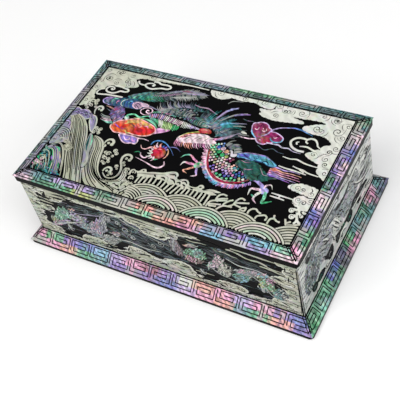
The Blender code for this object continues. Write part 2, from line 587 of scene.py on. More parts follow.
def comb(pen, roots, tips, count, width, tints, level, rng, bend=0.0, point=0.2, loose=0.1, wander=0.7):
    """Strokes side by side from one curve to another, such as ribs, fins, bristles or fur."""
    roots, tips = even(smooth(roots), count), even(smooth(tips), count)
    for k, (root, tip) in enumerate(zip(roots, tips)):
        reach = (tip - root) * rng.uniform(1.0 - loose, 1.0 + loose)
        aside = np.array((-reach[1], reach[0])) * bend
        where = (k + 0.5) / count * len(tints) + rng.uniform(-wander, wander)
        tint = tints[max(0, min(len(tints) - 1, int(where)))]
        path = smooth((root, root + 0.55 * reach + aside, root + reach), 3)
        pen.ribbon(path, width * swell(len(path), 0.75, 1.0, point, 0.4), level + k % 3, tint)


def fan(pen, x, y, radius, pitch, tints, level, width):
    """One wave fan: nested bands of shell with dark lines between them."""
    bands = max(3, int(radius / pitch))
    pen.plate(disc(x, y, radius + 0.55 * width, 56), level, "line")
    for k in range(bands):
        outer = radius - k * pitch
        tint = tints[k % len(tints)]
        centre = outer - 0.5 * (pitch - width)
        if centre < 1.0:
            break
        pen.ribbon(arc(x, y, centre, 0, 180, 40), pitch - width, level + 1, tint)


def fan_row(pen, spots, radius, pitch, tints, level, width):
    """A row of wave fans."""
    for x, y in spots:
        fan(pen, x, y, radius, pitch, tints, level, width)


# Motifs: the dragon

SCALE = smooth(((-1.1, 0.0), (-0.6, 0.6), (0.1, 0.98), (0.8, 0.72), (0.78, 0.0), (0.8, -0.72), (0.1, -0.98),
    (-0.6, -0.6)), 2, True)


def scaled_body(pen, spine, girth, rows, pitch, tint_at, level, rng):
    """A body along a spine on a dark ground, covered with rows of rounded scales with bright hearts."""
    spine = even(smooth(spine, 10), max(4, int(length(smooth(spine, 10)) / pitch)))
    share = np.linspace(0.0, 1.0, len(spine))
    half = np.interp(share, np.linspace(0.0, 1.0, len(girth)), girth)
    left = left_of(spine)
    pen.plate(np.vstack((spine + left * half[:, None], (spine - left * half[:, None])[::-1])),
        level, "line")
    for k, (spot, side, width, s) in enumerate(zip(spine, left, half, share)):
        turn = math.degrees(math.atan2(-side[0], side[1]))
        size = width / rows
        for row in range(rows - k % 2):
            t = (2.0 * row + 1.0 + k % 2) / rows - 1.0
            place = spot + side * width * t
            mark = pen.at(place[0], place[1], turn + rng.uniform(-18, 18), rng.uniform(0.84, 1.08))
            tint = tint_at(s, t, rng)
            mark.plate(SCALE * (0.46 * pitch, 0.84 * size), level + 1 + (k + row) % 2, tint)
            if tint != "line" and (k + 2 * row) % 5 > 1:
                mark.plate(SCALE * (0.17 * pitch, 0.26 * size) + (0.14 * pitch, 0.0), level + 3,
                    (tint, "pearl", 0.3))


def zones(inner, middle, outer):
    """A rule that picks the tint of a scale from lists along a body, one row for each third across it."""
    third = 0.34

    def tint_at(s, t, rng):
        t += rng.uniform(-0.2, 0.2)
        stops = inner if t > third else middle if t > -third else outer
        return rng.choice(stops[min(len(stops) - 1,
            int(max(0.0, s + rng.uniform(-0.05, 0.05)) * len(stops)))])
    return tint_at


def talon(pen, points, width, tints, level):
    """A toe that ends in a hooked nail, with knuckle lines."""
    count, nail = 22, 12
    path = even(smooth(points, 6), count)
    pen.ribbon(path, width * swell(count, 0.8, 1.0, 0.12, 0.25), level, tints[0])
    pen.ribbon(path[nail:], width * swell(count - nail, 0.75, 0.6, 0.1, 0.3), level + 1, tints[1])
    left = left_of(path)
    for k in (3, 6, 9):
        ends = (path[k] - left[k] * 0.32 * width, path[k] + left[k] * 0.1 * width)
        pen.ribbon(ends, 0.28, level + 2, "line")


def claw(pen, tints, level):
    """A foot with four hooked talons, about twelve millimetres across, that reaches to the right."""
    pen.shape(((-4.5, -1.6), (-0.6, -2.4), (2.0, -1.2), (2.2, 1.2), (0.0, 2.3), (-4.5, 1.5)),
        level, tints[0])
    toes = (((0.6, -1.4), (1.6, -4.2), (4.2, -6.0), (6.4, -4.6)), ((1.0, -0.6), (4.2, -1.4), (7.0, -0.6),
        (8.0, 1.8)), ((0.8, 0.6), (3.2, 2.4), (4.2, 5.2), (2.4, 7.2)),
        ((-1.0, 1.2), (-1.2, 3.8), (-3.4, 5.4)))
    for k, toe in enumerate(toes):
        talon(pen, toe, 1.9 - 0.15 * k, (tints[1 + k % 3], tints[2 + k % 3]), level + 1)


# The pictures

def panel_pen(inlay):
    """A pen for the lid's flat panel, about its middle."""
    face = lid_panel()
    return Pen(inlay, face), face.fence[2][0], face.fence[2][1]


def lid_panel():
    """The flat panel of the lid."""
    sizes = bpy.context.scene.box_inlay
    half_x, half_y, z = outline_at("lid", "top")
    x, y = half_x / MM - sizes.margin / MM, half_y / MM - sizes.margin / MM
    return Face((0, 0, z), (1, 0, 0), (0, 1, 0), ((-x, -y), (x, -y), (x, y), (-x, y)))


def outline_at(node, where):
    """Half length, half depth and height of a node's top, or of one end of its widest part."""
    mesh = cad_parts[node].data
    points = np.array([vertex.co for vertex in mesh.vertices])
    if where == "top":
        row = points[points[:, 2] > points[:, 2].max() - NEAR]
    else:
        widest = points[points[:, 0] > points[:, 0].max() - NEAR]
        level = widest[:, 2].max() if where == "edge" else widest[:, 2].min()
        row = points[abs(points[:, 2] - level) < NEAR]
    return float(row[:, 0].max()), float(row[:, 1].max()), float(row[:, 2].mean())


def draw_back_clouds(pen, px, py, rng, gap):
    """The cloud banks along the back and the right of the lid."""
    left = ((-30, py), (-38, 58.2), (-50, 57.6), (-58, 57), (-64, 56), (-70, 56.6), (-78, 53.6),
        (-76.6, 51), (-73, 47.6), (-71.6, 45.6), (-76, 43.6), (-82, 42.6), (-90, 42), (-97, 40.6),
        (-99.4, 37.6), (-98.4, 35), (-102.4, 35), (-105.4, 32), (-104.6, 27.4), (-101.6, 23.4),
        (-101.8, 19.4), (-104, 15.6), (-px, 12.4))
    cloud(pen, left, ((-px, py),), "ivory", rng, 3.4, 0.16, 1, gap, 0.56)
    right = ((-10, py), (-9.6, 57.4), (-5, 53.6), (1, 52.6), (4.6, 53.2), (6.8, 54.8), (8.2, 56.6),
        (13.9, 56.2), (19.8, 55.4), (25, 56.6), (31, 56.4), (36.5, 54.4), (43.6, 53.4), (46.6, 55),
        (46.8, 57.6), (45.6, 59), (48, 57.8), (48.6, 54.6), (45, 52), (36.5, 51.8), (35.9, 50.2),
        (40.5, 48.6), (37.4, 46.6), (44, 44.6), (51.3, 43.4), (58.6, 44.2), (65.9, 45.2), (76.2, 47.2),
        (70.3, 48.6), (63, 50.8), (73, 51.6), (86, 52.6), (91.4, 50.4), (84.2, 48.2), (79.1, 45.3),
        (75.2, 43), (77.7, 40.5), (84.2, 39), (92.3, 39), (98.9, 36.5), (102.4, 32.4), (98.4, 30.2),
        (96, 28), (96.7, 25), (93.8, 22.8), (88.6, 20.4), (88, 17.8), (92.3, 15.6), (97.4, 13.8),
        (101.5, 12.4), (101.7, 9), (101.2, 6.6), (104.6, 3.2), (px, -0.6))
    cloud(pen, right, ((px, py),), "pearl", rng, 3.4, 0.16, 1, gap, 0.56)
    low = ((px, -9.6), (105, -8.8), (99, -8.2), (93, -9.4), (89.2, -11.6), (88.6, -13.4), (93, -14.8),
        (98.6, -15.8), (103, -16), (106, -17.4), (px, -17))
    cloud(pen, low, (), "pearl", rng, 3.2, 0.24, 1, 0.9 * gap, 0.42)
    lower = ((px, -18.4), (106, -19), (102.6, -17.6), (99.4, -19), (97, -21.4), (96.6, -24), (98.8, -26.4),
        (102.4, -28), (105.5, -29.6), (px, -28.8))
    cloud(pen, lower, (), "pearl", rng, 3.2, 0.24, 1, 0.9 * gap, 0.42)
    for path in (((px, -17.8), (105.6, -18.2), (102, -17.2)), ((104.8, -9.6), (106.4, -12),
            (104.8, -14.4))):
        pen.stroke(path, 0.8, 4, "line", 0.6, 0.2)
    for x, y, size, start, hand in ((101.8, 46.0, 4.1, 200, 1), (86.4, 44.6, 3.2, 160, 1),
            (56.4, 54.6, 2.0, 0, -1), (97.4, 56.0, 2.5, 180, 1), (103.3, 25.4, 2.5, 60, -1),
            (105.0, 13.4, 2.1, 120, 1), (99.6, -12.6, 1.8, 40, -1), (104.4, -23.4, 2.2, 30, 1),
            (-103.4, 47.6, 3.1, 60, 1), (-84.0, 48.4, 2.4, 180, -1), (-95.5, 56.6, 2.5, 0, 1)):
        scroll(pen, x, y, 1.1 * size, start, hand, 4, 0.74)


def draw_ribbon_clouds(pen):
    """The outlined clouds and the wisps between the banks."""
    ribbon_cloud(pen, ((-59.4, 50.4), (-58.6, 51.6), (-61.6, 52.7), (-65.4, 51.6), (-66.8, 49.4),
        (-63.8, 47.2), (-59.6, 46.6), (-55.5, 48), (-51.3, 49.5), (-46.6, 49.9), (-44, 51.5), (-44.8, 53.4),
        (-48.4, 54.2), (-53.7, 53.9), (-57.2, 55.2), (-61.4, 55)), 1.5, 4)
    ribbon_cloud(pen, ((-66.6, 49.2), (-69.6, 49), (-72.8, 49.8), (-74.6, 52.2)), 1.4, 4)
    ribbon_cloud(pen, ((-91.8, 36), (-90.2, 37.4), (-91.4, 39.2), (-94.6, 39.4), (-96.9, 37.4),
        (-96.4, 34.4), (-93.2, 32.8), (-89, 33), (-85.7, 35), (-83.6, 36.8), (-79.6, 37), (-77.2, 38.3),
        (-78.2, 40.2), (-81.6, 40.8), (-86, 41.6), (-92, 41.4)), 1.5, 4)
    ribbon_cloud(pen, ((-99.4, 35.4), (-102.4, 33.4), (-103.2, 30.4), (-101.8, 28.5), (-97.5, 29),
        (-92.7, 30), (-86.8, 30.4), (-78, 30.8)), 1.4, 4)
    for x, y in ((-59.6, 50.6), (-92.2, 37.0)):
        pen.plate(disc(x, y, 1.15, 14), 5, "pearl")
    ribbon_cloud(pen, ((96.6, 26.4), (93.4, 28.4), (92, 31), (89.6, 33.6), (86, 34), (83.6, 32.4),
        (80.6, 32.6), (77, 32.2), (74, 30), (73, 27), (74.4, 23.8), (77, 21.6), (81, 20.2), (86, 20.4)),
        1.6, 4)
    ribbon_cloud(pen, ((80.8, 24.6), (86.6, 25.4), (92.4, 23.6), (95.6, 25.2)), 1.4, 4)
    ribbon_cloud(pen, ((84, 32), (83.6, 30), (85.6, 28.8)), 1.1, 4)
    ribbon_cloud(pen, ((79, 28.6), (77.4, 27.4), (78.4, 25.6)), 1.1, 4)
    lines = (((73.3, 11.7), (79.1, 11.1), (84.2, 12), (90.1, 10.4), (95.2, 9.7), (102, 9.4)),
        ((83.9, 5.4), (88, 4.4), (92.3, 3.9), (97, 2.4), (105, 1.7)), ((74, 2.6), (80, 1.9), (88, 1.5),
        (96, 0.6)), ((90, 3.4), (93, 2.4), (93.4, 1.4)), ((79.9, -22.1), (86, -22.4), (98, -22.9)),
        ((79.9, -24.8), (85, -25), (91, -25.4)), ((86, -22.4), (86.6, -23.6), (86, -25)),
        ((-60, 59.2), (-45, 58.8), (-28, 59.3), (-12, 59)))
    for path in lines:
        pen.stroke(path, 1.35, 4, "pearl", 0.5, 0.6, 0.5)


def draw_breaking_wave(pen, px, py, rng, line):
    """The tall breaking wave on the left, in folds, with violet lobes along its back."""
    crest = ((-px, 9), (-107, 9.6), (-103.6, 8.2), (-100, 9.8), (-96, 8.6), (-92.8, 5.6), (-91.6, 2.2),
        (-95, -0.4), (-100, 0.6), (-104, 2.2), (-107.5, 0), (-px, -2))
    pen.shape(crest, 1, "lilac_grey", "ivory", 0.6)
    mauve = ("violet", "lilac_grey", 0.6)
    for k, (x, y, radius) in enumerate(((-107, 1.8, 6.4), (-101, 2.4, 6.2), (-96.4, 0.6, 6.6))):
        for ring in range(3):
            band = arc(x, y, radius - 1.7 * ring, 15, 160, 12)
            pen.ribbon(band, 1.0, 4, ((mauve, "slate"), ("lavender", mauve),
                (mauve, "lilac_grey"))[k][ring % 2])
            pen.ribbon(arc(x, y, radius - 0.8 - 1.7 * ring, 15, 160, 12), 0.34, 5, "line")
    lobe = ((-91.6, 5.2), (-88, 5), (-84.6, 1.6), (-82.2, -4.4), (-81.6, -10.6), (-84, -9.6), (-87.6, -5),
        (-90.6, -0.4))
    pen.shape(lobe, 2, "lilac_grey", "ivory", 0.9)
    pen.stroke(((-89.6, 2.4), (-86.6, -0.4), (-84.6, -5.4)), 1.6, 4, mauve)
    pen.stroke(((-88.6, 3.8), (-85.6, 0.8), (-83.6, -5.0)), 0.4, 5, "line")
    pen.stroke(((-90.4, 0.4), (-87.6, -2.8), (-84.8, -7.8)), 1.0, 4, "lavender")
    gully = ((-108, -1), (-104.5, -7), (-101, -14), (-98, -21), (-99, -27), (-104, -29.6),
        (-px, -31), (-px, -2))
    pen.plate(smooth(gully, 4), 1, "lilac_grey")
    for x, y, radius, reach in ((-108, -9.6, 7.6, 6), (-108, -22.6, 9.4, 7), (-109, -4, 3.4, 3)):
        for ring in range(reach):
            tint = ("ivory", "line", "lilac_grey", "line", "lavender", "line")[ring % 6]
            pen.ribbon(arc(x, y, radius - 1.05 * ring, -20, 150, 14),
                0.9 if tint != "line" else 0.45, 2, tint)
    outer = ((-103.4, 3), (-97, 0.6), (-90, -5.6), (-85, -12.6), (-80.2, -22), (-75.8, -31), (-70.4, -40),
        (-66.4, -48), (-62.6, -55), (-59, -py - 1))
    inner = ((-108.4, -1), (-104.5, -7), (-101, -14), (-98, -21), (-94, -29), (-89.5, -37), (-85, -45),
        (-80, -53), (-76, -py - 1))
    wave_body(pen, outer, inner, 11, ("khaki", "ivory", "moss", "ash"), 4, 1.55 * line, rng)
    pen.stroke(smooth(outer[:8], 4), 0.9, 7, "ivory", 0.6, 0.6)
    second_outer = ((-76.4, -14), (-72, -14.6), (-66.4, -17.4), (-62, -24), (-60, -31), (-57.4, -38),
        (-53.8, -44.5), (-47, -50.6), (-38.5, -54), (-29, -55.4), (-20, -57), (-14, -py - 1))
    second_inner = ((-79.5, -16), (-75, -25), (-72.6, -33), (-69.4, -41), (-66.5, -47), (-64, -51),
        (-61, -55.4), (-57, -59), (-53, -py - 1))
    wave_body(pen, second_outer, second_inner, 8, ("khaki", "ivory", "ash", "ivory"), 7, 1.75 * line, rng)
    pen.stroke(smooth(second_outer[:10], 4), 0.9, 10, "ivory", 0.6, 0.6)
    fold = ((-81.6, -12.4), (-78.6, -14), (-75.4, -18), (-72.4, -24), (-71, -30), (-67.6, -36),
        (-65.8, -41), (-67, -46.4), (-70, -44.6), (-73, -38), (-77, -29), (-80.4, -20))
    pen.shape(fold, 10, "ash", "line", 0.4)
    for stroke in ((((-80.4, -15), (-78.4, -21), (-76, -27), (-74, -30)), 2.0, 12, "deep_teal"),
            (((-79, -14), (-75.4, -20), (-73.6, -27)), 1.0, 13, "mint"),
            (((-75.4, -31), (-72, -36), (-69.6, -42)), 2.6, 12, "lilac_grey"),
            (((-73, -31), (-70, -35), (-67.4, -40), (-68, -45)), 0.7, 13, "ivory"),
            (((-74.6, -34.6), (-71.8, -39.6), (-69.4, -45)), 0.5, 13, "line")):
        pen.stroke(*stroke)
    mound = ((-px, -14), (-107, -12.6), (-103, -13.6), (-99.4, -17), (-97.2, -22), (-97.4, -27),
        (-102, -29.6), (-px, -30.6))
    pen.plate(smooth(mound, 4), 8, ("ash", "lilac_grey", 0.4))
    brush(pen, mound, 50, 4.0, 0.9, 1.5, ("khaki", "ash", "lilac_grey", "ivory"), 9, rng, 0.15)
    for x, y, size, start in ((-104.6, -22.4, 2.2, 30), (-101.2, -26.0, 1.5, 160),
            (-107.2, -27.4, 1.7, 250)):
        scroll(pen, x, y, size, start, 1, 10, 0.55)
    for k in range(5):
        path = arc(-106.6 + 0.4 * k, -24.6, 11.4 - 2.0 * k, 10, 150, 12)
        pen.ribbon(path, swell(len(path), 0.3, 0.7, 0.3), 10, "line")
    knobs(pen, ((-96.4, -26.6, 1.7), (-93.6, -27.4, 1.9), (-90.6, -29.6, 1.8), (-88.2, -31.4, 1.6),
        (-88.6, -34, 1.5), (-91.4, -33.6, 1.6), (-94.2, -31.4, 1.6)), "khaki", 10)


def draw_near_waves(pen, px, py, rng):
    """The small coloured waves in the lid's front left corner."""
    outer = ((-108.4, -35), (-105, -31.2), (-100.4, -29), (-95, -32), (-90, -38), (-85.6, -46),
        (-81.6, -54), (-78.6, -py - 1))
    inner = ((-px, -43), (-106, -38.6), (-102.4, -38.4), (-98.6, -43), (-95, -50), (-92, -py - 1))
    edge, bed = smooth(outer), smooth(inner)
    pen.plate(np.vstack((edge, bed[::-1])), 9, "line")
    stripes = ("khaki", "ivory", "line", "slate", "ash", "lilac_grey", "khaki", "violet", "ash", "slate",
        "ivory", "green")
    for k, tint in enumerate(stripes):
        path = between(edge, bed, (k + 0.4) / len(stripes), 30)
        path = path[rng.randint(0, 4):30 - rng.randint(0, 5)]
        pen.ribbon(path, swell(len(path), 0.3, 0.85, 0.5, 0.5), 10, tint)
    pen.stroke(((-104, -34), (-100, -32.4), (-96, -35.6)), 2.0, 11, "line")
    pen.stroke(((-101, -34.4), (-97.4, -35), (-94, -39)), 1.8, 12, ("emerald", "mint", 0.3))
    pen.stroke(((-95, -37.6), (-91, -42.6), (-88, -48)), 1.1, 12, ("salmon", "ash", 0.5))
    for x, y, tint in ((-97, -45.6, "violet"), (-91.6, -44.6, "violet"), (-88.6, -46, "lilac_grey"),
            (-93.4, -49, "slate"), (-87.4, -50.4, "green")):
        pen.stroke(((x - 1.4, y + 2.2), (x, y), (x + 1.6, y - 2.6)), 1.5, 12, tint)
    pool = ((-px, -37), (-106, -36), (-103, -38.4), (-98.6, -43), (-95, -50), (-92, -py), (-px, -py))
    pen.plate(smooth(pool, 4), 9, "line")
    brush(pen, pool, -58, 5.0, 1.0, 1.35, ("ash", "slate", "deep_teal", "teal", "lilac_grey", "khaki",
        "emerald"), 10, rng)
    brush(pen, ((-px, -36), (-104.6, -37), (-104, -43), (-px, -44)), 70, 3.0, 1.1, 1.3,
        ("green", "teal", "emerald"), 12, rng)
    brush(pen, ((-px, -48), (-103, -47), (-101, -54), (-px, -55)), -40, 3.4, 0.9, 1.3,
        ("pink", "ash", "blush", "green"), 12, rng)
    brush(pen, ((-101, -54), (-84, -55.6), (-80, -py), (-104, -py)), -8, 4.0, 1.0, 1.3,
        ("navy", "deep_teal", "slate", "teal"), 12, rng)
    for path in (((-109, -46.4), (-105, -45), (-101.4, -47.6), (-98, -53), (-96, -58)),
            ((-109, -41), (-105.6, -39.6), (-102, -42), (-98.6, -47.6), (-95.6, -54)),
            ((-109, -52), (-106, -51), (-103, -54), (-101.6, -58.6))):
        pen.stroke(path, 0.9, 13, "khaki", 0.6, 0.4)
    crook(pen.at(-104.6, -48.4, 20, 1.9), "ivory", 14, 1)
    crook(pen.at(-106.6, -54.6, 0, 1.7), "khaki", 14, 1)


def draw_foam(pen):
    """Curls and knobs of foam thrown up along the waves."""
    crooks = ((-89.4, 13.4, 3.6, -12, 3, False), (-60.6, -16.8, 4.4, -10, 1, False),
        (-46.4, -42.2, 3.9, -8, 1, False), (-54.6, -27.2, 2.4, 30, 0, True),
        (-55.6, -32.4, 2.2, -20, 0, True), (-77.8, -8.8, 2.2, 0, 0, False), (-100, 19.4, 2.5, 10, 0, False),
        (-99.6, 14.6, 2.2, -30, 0, True))
    for x, y, size, turn, tail, mirror in crooks:
        crook(pen.at(x, y, turn, size, mirror), "ivory", 13, tail)
    spots = ((-102.6, 21.8, 1.7), (-96.6, 21.4, 1.7), (-96.0, 18.0, 1.5), (-102.6, 17.4, 1.5),
        (-103.4, 13.8, 1.4), (-94.4, 14.6, 1.2), (-101, 11.6, 1.3), (-80.0, -6.2, 1.6), (-75.8, -6.4, 1.6),
        (-75.4, -10.4, 1.5), (-80, -10.8, 1.6), (-62.8, -20.8, 1.5), (-51.2, -22.8, 1.8),
        (-48.8, -25.2, 1.6), (-50.6, -28.4, 1.2), (-58.0, -26.6, 1.4), (-52.2, -31.8, 1.5),
        (-50.8, -34.4, 1.3), (-53.2, -36.8, 1.4), (-57.6, -30.4, 1.1), (-55.6, -35.6, 1.2))
    knobs(pen, spots, "ivory", 12)
    curls = (((99.4, -31.8), 2.0), ((101.6, -36.8), 2.1), ((107.6, -34.6), 1.4), ((103.8, -32.4), 1.0))
    for (x, y), radius in curls:
        pen.plate(disc(x, y, radius, 16), 12, "pearl")
        pen.ribbon(arc(x, y, 0.5 * radius, 20, 250, 8), 0.4, 13, "line")
    for path in (((100, -30.2), (102.4, -30.4), (104.4, -28.4)), ((104.4, -28.6), (104.8, -32),
            (107, -34.2)), ((102.4, -35), (105.2, -36.4), (106, -39.6), (105, -42)),
            ((104.6, -32.4), (104.4, -34.6), (105.6, -37)), ((106.2, -38.6), (108.4, -40.4),
            (109.4, -40.2)), ((107, -30.6), (108.6, -31.6), (109.4, -30.8))):
        pen.stroke(path, 1.8, 11, "pearl", 0.9, 0.8)


def fleck(x, y, turn):
    """A short bent mark."""
    return arc(x, y, 1.4, turn, turn + 150, 7)


def draw_hollow(pen):
    """The round black hollow where the tall wave's foot curls up, with the large curl above it."""
    pen.plate(smooth(((-36, -31), (-28, -34), (-22, -38), (-21, -44), (-24, -47.4), (-31, -49), (-40, -51),
        (-49, -47)), 4), 8, "line")
    pool = ((-45, -52), (-38, -51), (-30, -49.6), (-23, -47), (-19, -48.4), (-19.4, -54),
        (-15, -61), (-47, -61))
    pen.plate(smooth(pool, 4, True), 8, ("khaki", "ivory", 0.4))
    stem = ((-34.8, -27.6), (-34.8, -25), (-37.2, -23.2), (-40.4, -23.8), (-42, -26.8), (-41, -31),
        (-38.6, -34.4), (-36.6, -38.4), (-36, -42.6), (-37.4, -46.4), (-41, -48.6), (-45, -48.2),
        (-48.8, -45.4))
    pen.stroke(stem, 1.9, 12, "ivory", 0.9, 0.4, 0.3)
    pen.stroke(offset(smooth(stem[5:], 4), 0.1), 0.36, 13, "line", 0.3, 0.3)
    for k in range(3):
        reach = 1.9 * (k + 1)
        path = smooth(((-35.6 + 0.4 * reach, -37.4 + 0.2 * reach), (-34.6 + 0.8 * reach, -42.6),
            (-35.6 + 0.8 * reach, -47.8 - 0.3 * reach), (-40.6, -50.2 - 0.5 * reach),
            (-47, -49.4 - 0.5 * reach)), 6)
        pen.ribbon(path, 1.15 * swell(len(path), 0.7, 1.0, 0.3), 11, "ivory")
        pen.ribbon(offset(path, -0.9), 0.5, 12, "line")
    knobs(pen, ((-35.2, -27.8, 1.3), (-38.4, -27.2, 1.1), (-38.2, -31.4, 1.1), (-36.4, -33.6, 1.0),
        (-41.8, -36.4, 1.5), (-40.2, -38.6, 0.9), (-43.8, -43.6, 1.1), (-41.6, -44.4, 1.2),
        (-43.4, -46.2, 1.0), (-33.4, -36.4, 1.1), (-31.4, -39.2, 1.3), (-30.4, -42.4, 1.2),
        (-32.2, -45.4, 1.2), (-28.6, -46.2, 1.2), (-28.2, -39.8, 1.1), (-25.0, -47.2, 1.2)), "ivory", 13)
    for x, y, size, turn, mirror in ((-26.4, -37.2, 2.6, 15, True), (-24.8, -43.0, 2.3, 15, True),
            (-31.6, -36.8, 1.8, 30, False), (-27.6, -47.6, 1.7, 0, False)):
        crook(pen.at(x, y, turn, size, mirror), "ivory", 14, 1)
    for x, y, turn in ((-34, -53.4, 20), (-30.4, -54.6, 0), (-25, -52.6, -10), (-28, -57, 10),
            (-21.6, -50.4, 40), (-36.6, -56, 60), (-22.4, -55.4, 150), (-31.6, -51.6, 200),
            (-27.4, -50.8, 100), (-33, -58, -30), (-40, -54.2, 10), (-24.4, -58.4, 80)):
        pen.ribbon(fleck(x, y, turn), swell(8, 0.3, 1.15, 0.3), 13, "line")


def draw_surf_ridge(pen):
    """The comb of falling water behind the fans, with its foaming crest and the sprays to its right."""
    bars = ((-19.4, -19.7, -46), (-16.4, -16.7, -45.6), (-13, -13.1, -44.4), (-9.6, -9.5, -44),
        (-5.7, -6.0, -43.8), (-1.5, -2.1, -44), (2.1, 1.2, -44.2), (6.0, 4.6, -45), (10.0, 7.4, -45.8),
        (13.8, 10.8, -46.6), (16.4, 14.8, -45.8), (19.6, 18.6, -44.8), (22.7, 22.2, -44.6),
        (26.1, 25.4, -44.8), (29.5, 29, -45.2), (32.8, 32.4, -45.6), (35.8, 35.4, -46.4), (39, 39.2, -47.8))
    for top, foot, low in bars:
        pen.stroke(((top, -36.6), (0.65 * top + 0.35 * foot + 0.3, -40), (foot, low)), 1.35, 4,
            "ivory", 0.9, 0.95)
    crest = ((-27, -39), (-25.4, -35.4), (-22.4, -35), (-20.6, -32.4), (-17.8, -31.8), (-16, -34),
        (-12, -32.6), (-8, -31.6), (-4, -30.6), (0, -28.4), (3.4, -27), (6.4, -27), (8.7, -29),
        (8.5, -31.6), (11, -32.8), (14, -31.2), (17, -31), (19.4, -32.6), (21, -35.2), (25, -35.4),
        (27, -34.6), (28.4, -32.2), (30.6, -31.7), (32.4, -33.6), (31.2, -35.2), (33.4, -35.8),
        (36.6, -33.6), (40.6, -33), (45.8, -33.6), (43.6, -34.8), (40, -35.2), (44, -36.6), (42, -37.4),
        (39.6, -38.2), (34, -37.6), (30, -38.4), (26, -38), (22, -38.4), (19, -38), (16.4, -37.4),
        (14, -38.4), (10, -37.4), (6, -39.4), (2, -37.2), (-1.4, -37), (-5.6, -37), (-9.6, -36.8),
        (-13, -38.8), (-16.4, -38.6), (-19.6, -39.6), (-21.6, -42), (-22.4, -48), (-27, -48))
    pen.plate(smooth(crest, 3, True), 5, "ivory")
    hollows = (((1.8, -30.8), (4, -30), (6.2, -29.6), (7.2, -31)), ((-19.8, -33.6), (-18.4, -33.4)),
        ((14, -33.2), (16.6, -32.8), (18.6, -34.6)), ((28.6, -34.4), (30.4, -33.6)),
        ((-9.4, -34), (-7.2, -36)), ((-3.2, -35), (-1, -34.8), (0.8, -36)), ((4.2, -34), (7.4, -34.4),
        (9.6, -36.8)), ((10.8, -35.8), (12.8, -35), (13.8, -36.6)), ((15.6, -35.6), (18.6, -37)),
        ((22.6, -37), (25.2, -37.4)))
    for path in hollows:
        pen.stroke(path, 1.5, 6, "line", 0.5, 0.5)
    for path in (((-24, -38), (-18, -36.4), (-12, -35.2), (-6, -33), (-1, -31.6)),
            ((-1.4, -32.6), (2, -33.4), (3.6, -37.4)), ((-22, -36.6), (-15, -35), (-8, -33.2)),
            ((8.6, -33.4), (13, -33), (15.4, -34.4)), ((20, -36.6), (27, -36.6)), ((31.6, -37), (36, -35.2),
            (42, -34.2)), ((0.6, -30), (3.6, -28.4), (6.4, -28.4))):
        pen.stroke(path, 0.42, 6, "line", 0.3, 0.3)
    for x, y, radius in ((4.2, -31.4, 0.8), (16.2, -34.6, 0.9), (5.6, -37.6, 1.2), (-4.4, -36.6, 1.1),
            (-15.6, -39.4, 1.0), (17.2, -39, 1.1)):
        pen.plate(disc(x, y, radius, 10), 7, "ivory")
    sprays = (((41.2, -49), (41.4, -45.6), (42.6, -42.8), (45, -41.4), (47, -41.2)),
        ((41.6, -46), (44.4, -44.8), (50.2, -43.6)), ((42.6, -47), (45, -46.4), (47.6, -46)),
        ((45.4, -41.4), (45.4, -38), (46.4, -35.6), (48.6, -34.4), (51, -34.8)),
        ((45.6, -40), (49.6, -38.2), (52.6, -37.2)), ((46.4, -41), (49, -40.2), (51.8, -39.2)),
        ((49.2, -49), (50.8, -45.8), (53.4, -43.6), (58.6, -43)), ((52.4, -44), (52.8, -41.6), (55, -38.6),
        (57, -37.2)), ((54, -40.4), (53, -39)), ((56, -43.2), (59, -40.6), (59.8, -36.8), (61.2, -34.2),
        (63.2, -33.4), (65, -34.2)), ((60, -38.6), (64, -37.4), (68.8, -36)), ((59, -39.8), (62, -40.6),
        (64.4, -41)), ((65, -45), (66, -41.8), (68.6, -40.2)), ((66.4, -43.6), (68.8, -43), (69, -41)),
        ((72, -45), (71.9, -42), (73.4, -39.6), (76, -38.9), (78, -40.4), (80.2, -41.2)),
        ((78.6, -46.8), (79.2, -44.2), (81.8, -42.6), (84, -41.8), (86, -43), (86, -45.2)),
        ((88.4, -48.8), (88.3, -45.2), (89, -43.2), (91.2, -42.4), (93.4, -43.6), (95.4, -44)),
        ((91, -42.6), (90.4, -40)), ((98.4, -40), (99.8, -42.8), (101.4, -46)),
        ((99.8, -43.4), (102.4, -41.4)), ((101.6, -44.4), (105, -43.4), (109, -41.4)))
    for path in sprays:
        pen.stroke(path, 1.4, 4, "ivory", 0.9, 0.85)
        pen.plate(disc(path[-1][0], path[-1][1], 0.8, 10), 5, "ivory")


def draw_fans(pen, pitch, line):
    """Rows of wave fans along the front of the lid."""
    pale = ("ivory", "khaki", "ivory", "ivory")
    fresh = ("ivory", ("ivory", "mint", 0.3), ("ivory", "mint", 0.5), ("ivory", "mint", 0.3), "pearl")
    rosy = ("ivory", ("ivory", "blush", 0.4), "ivory", ("ivory", "mint", 0.25), "pearl")
    fan_row(pen, ((-5.4, -66.8), (25, -67.4), (67.4, -67.9), (111, -66.8)), 23.4, pitch, pale, 9, line)
    x, y = -20.0, -66.0
    pen.plate(np.vstack((arc(x, y, 17.2, 36, 100, 18), arc(x, y, 5.0, 100, 36, 8))), 12, "ivory")
    for k in range(6):
        path = arc(x, y, 15.9 - 1.95 * k, 38, 96 + 2 * k, 14)
        pen.ribbon(path, 1.05 * swell(len(path), 1.0, 1.0, 0.3), 13, "line")
    fan_row(pen, ((6.4, -74.2), (86.6, -72.2)), 23.7, pitch, rosy, 14, line)
    fan_row(pen, ((45, -72.4),), 23.7, pitch, fresh, 17, line)


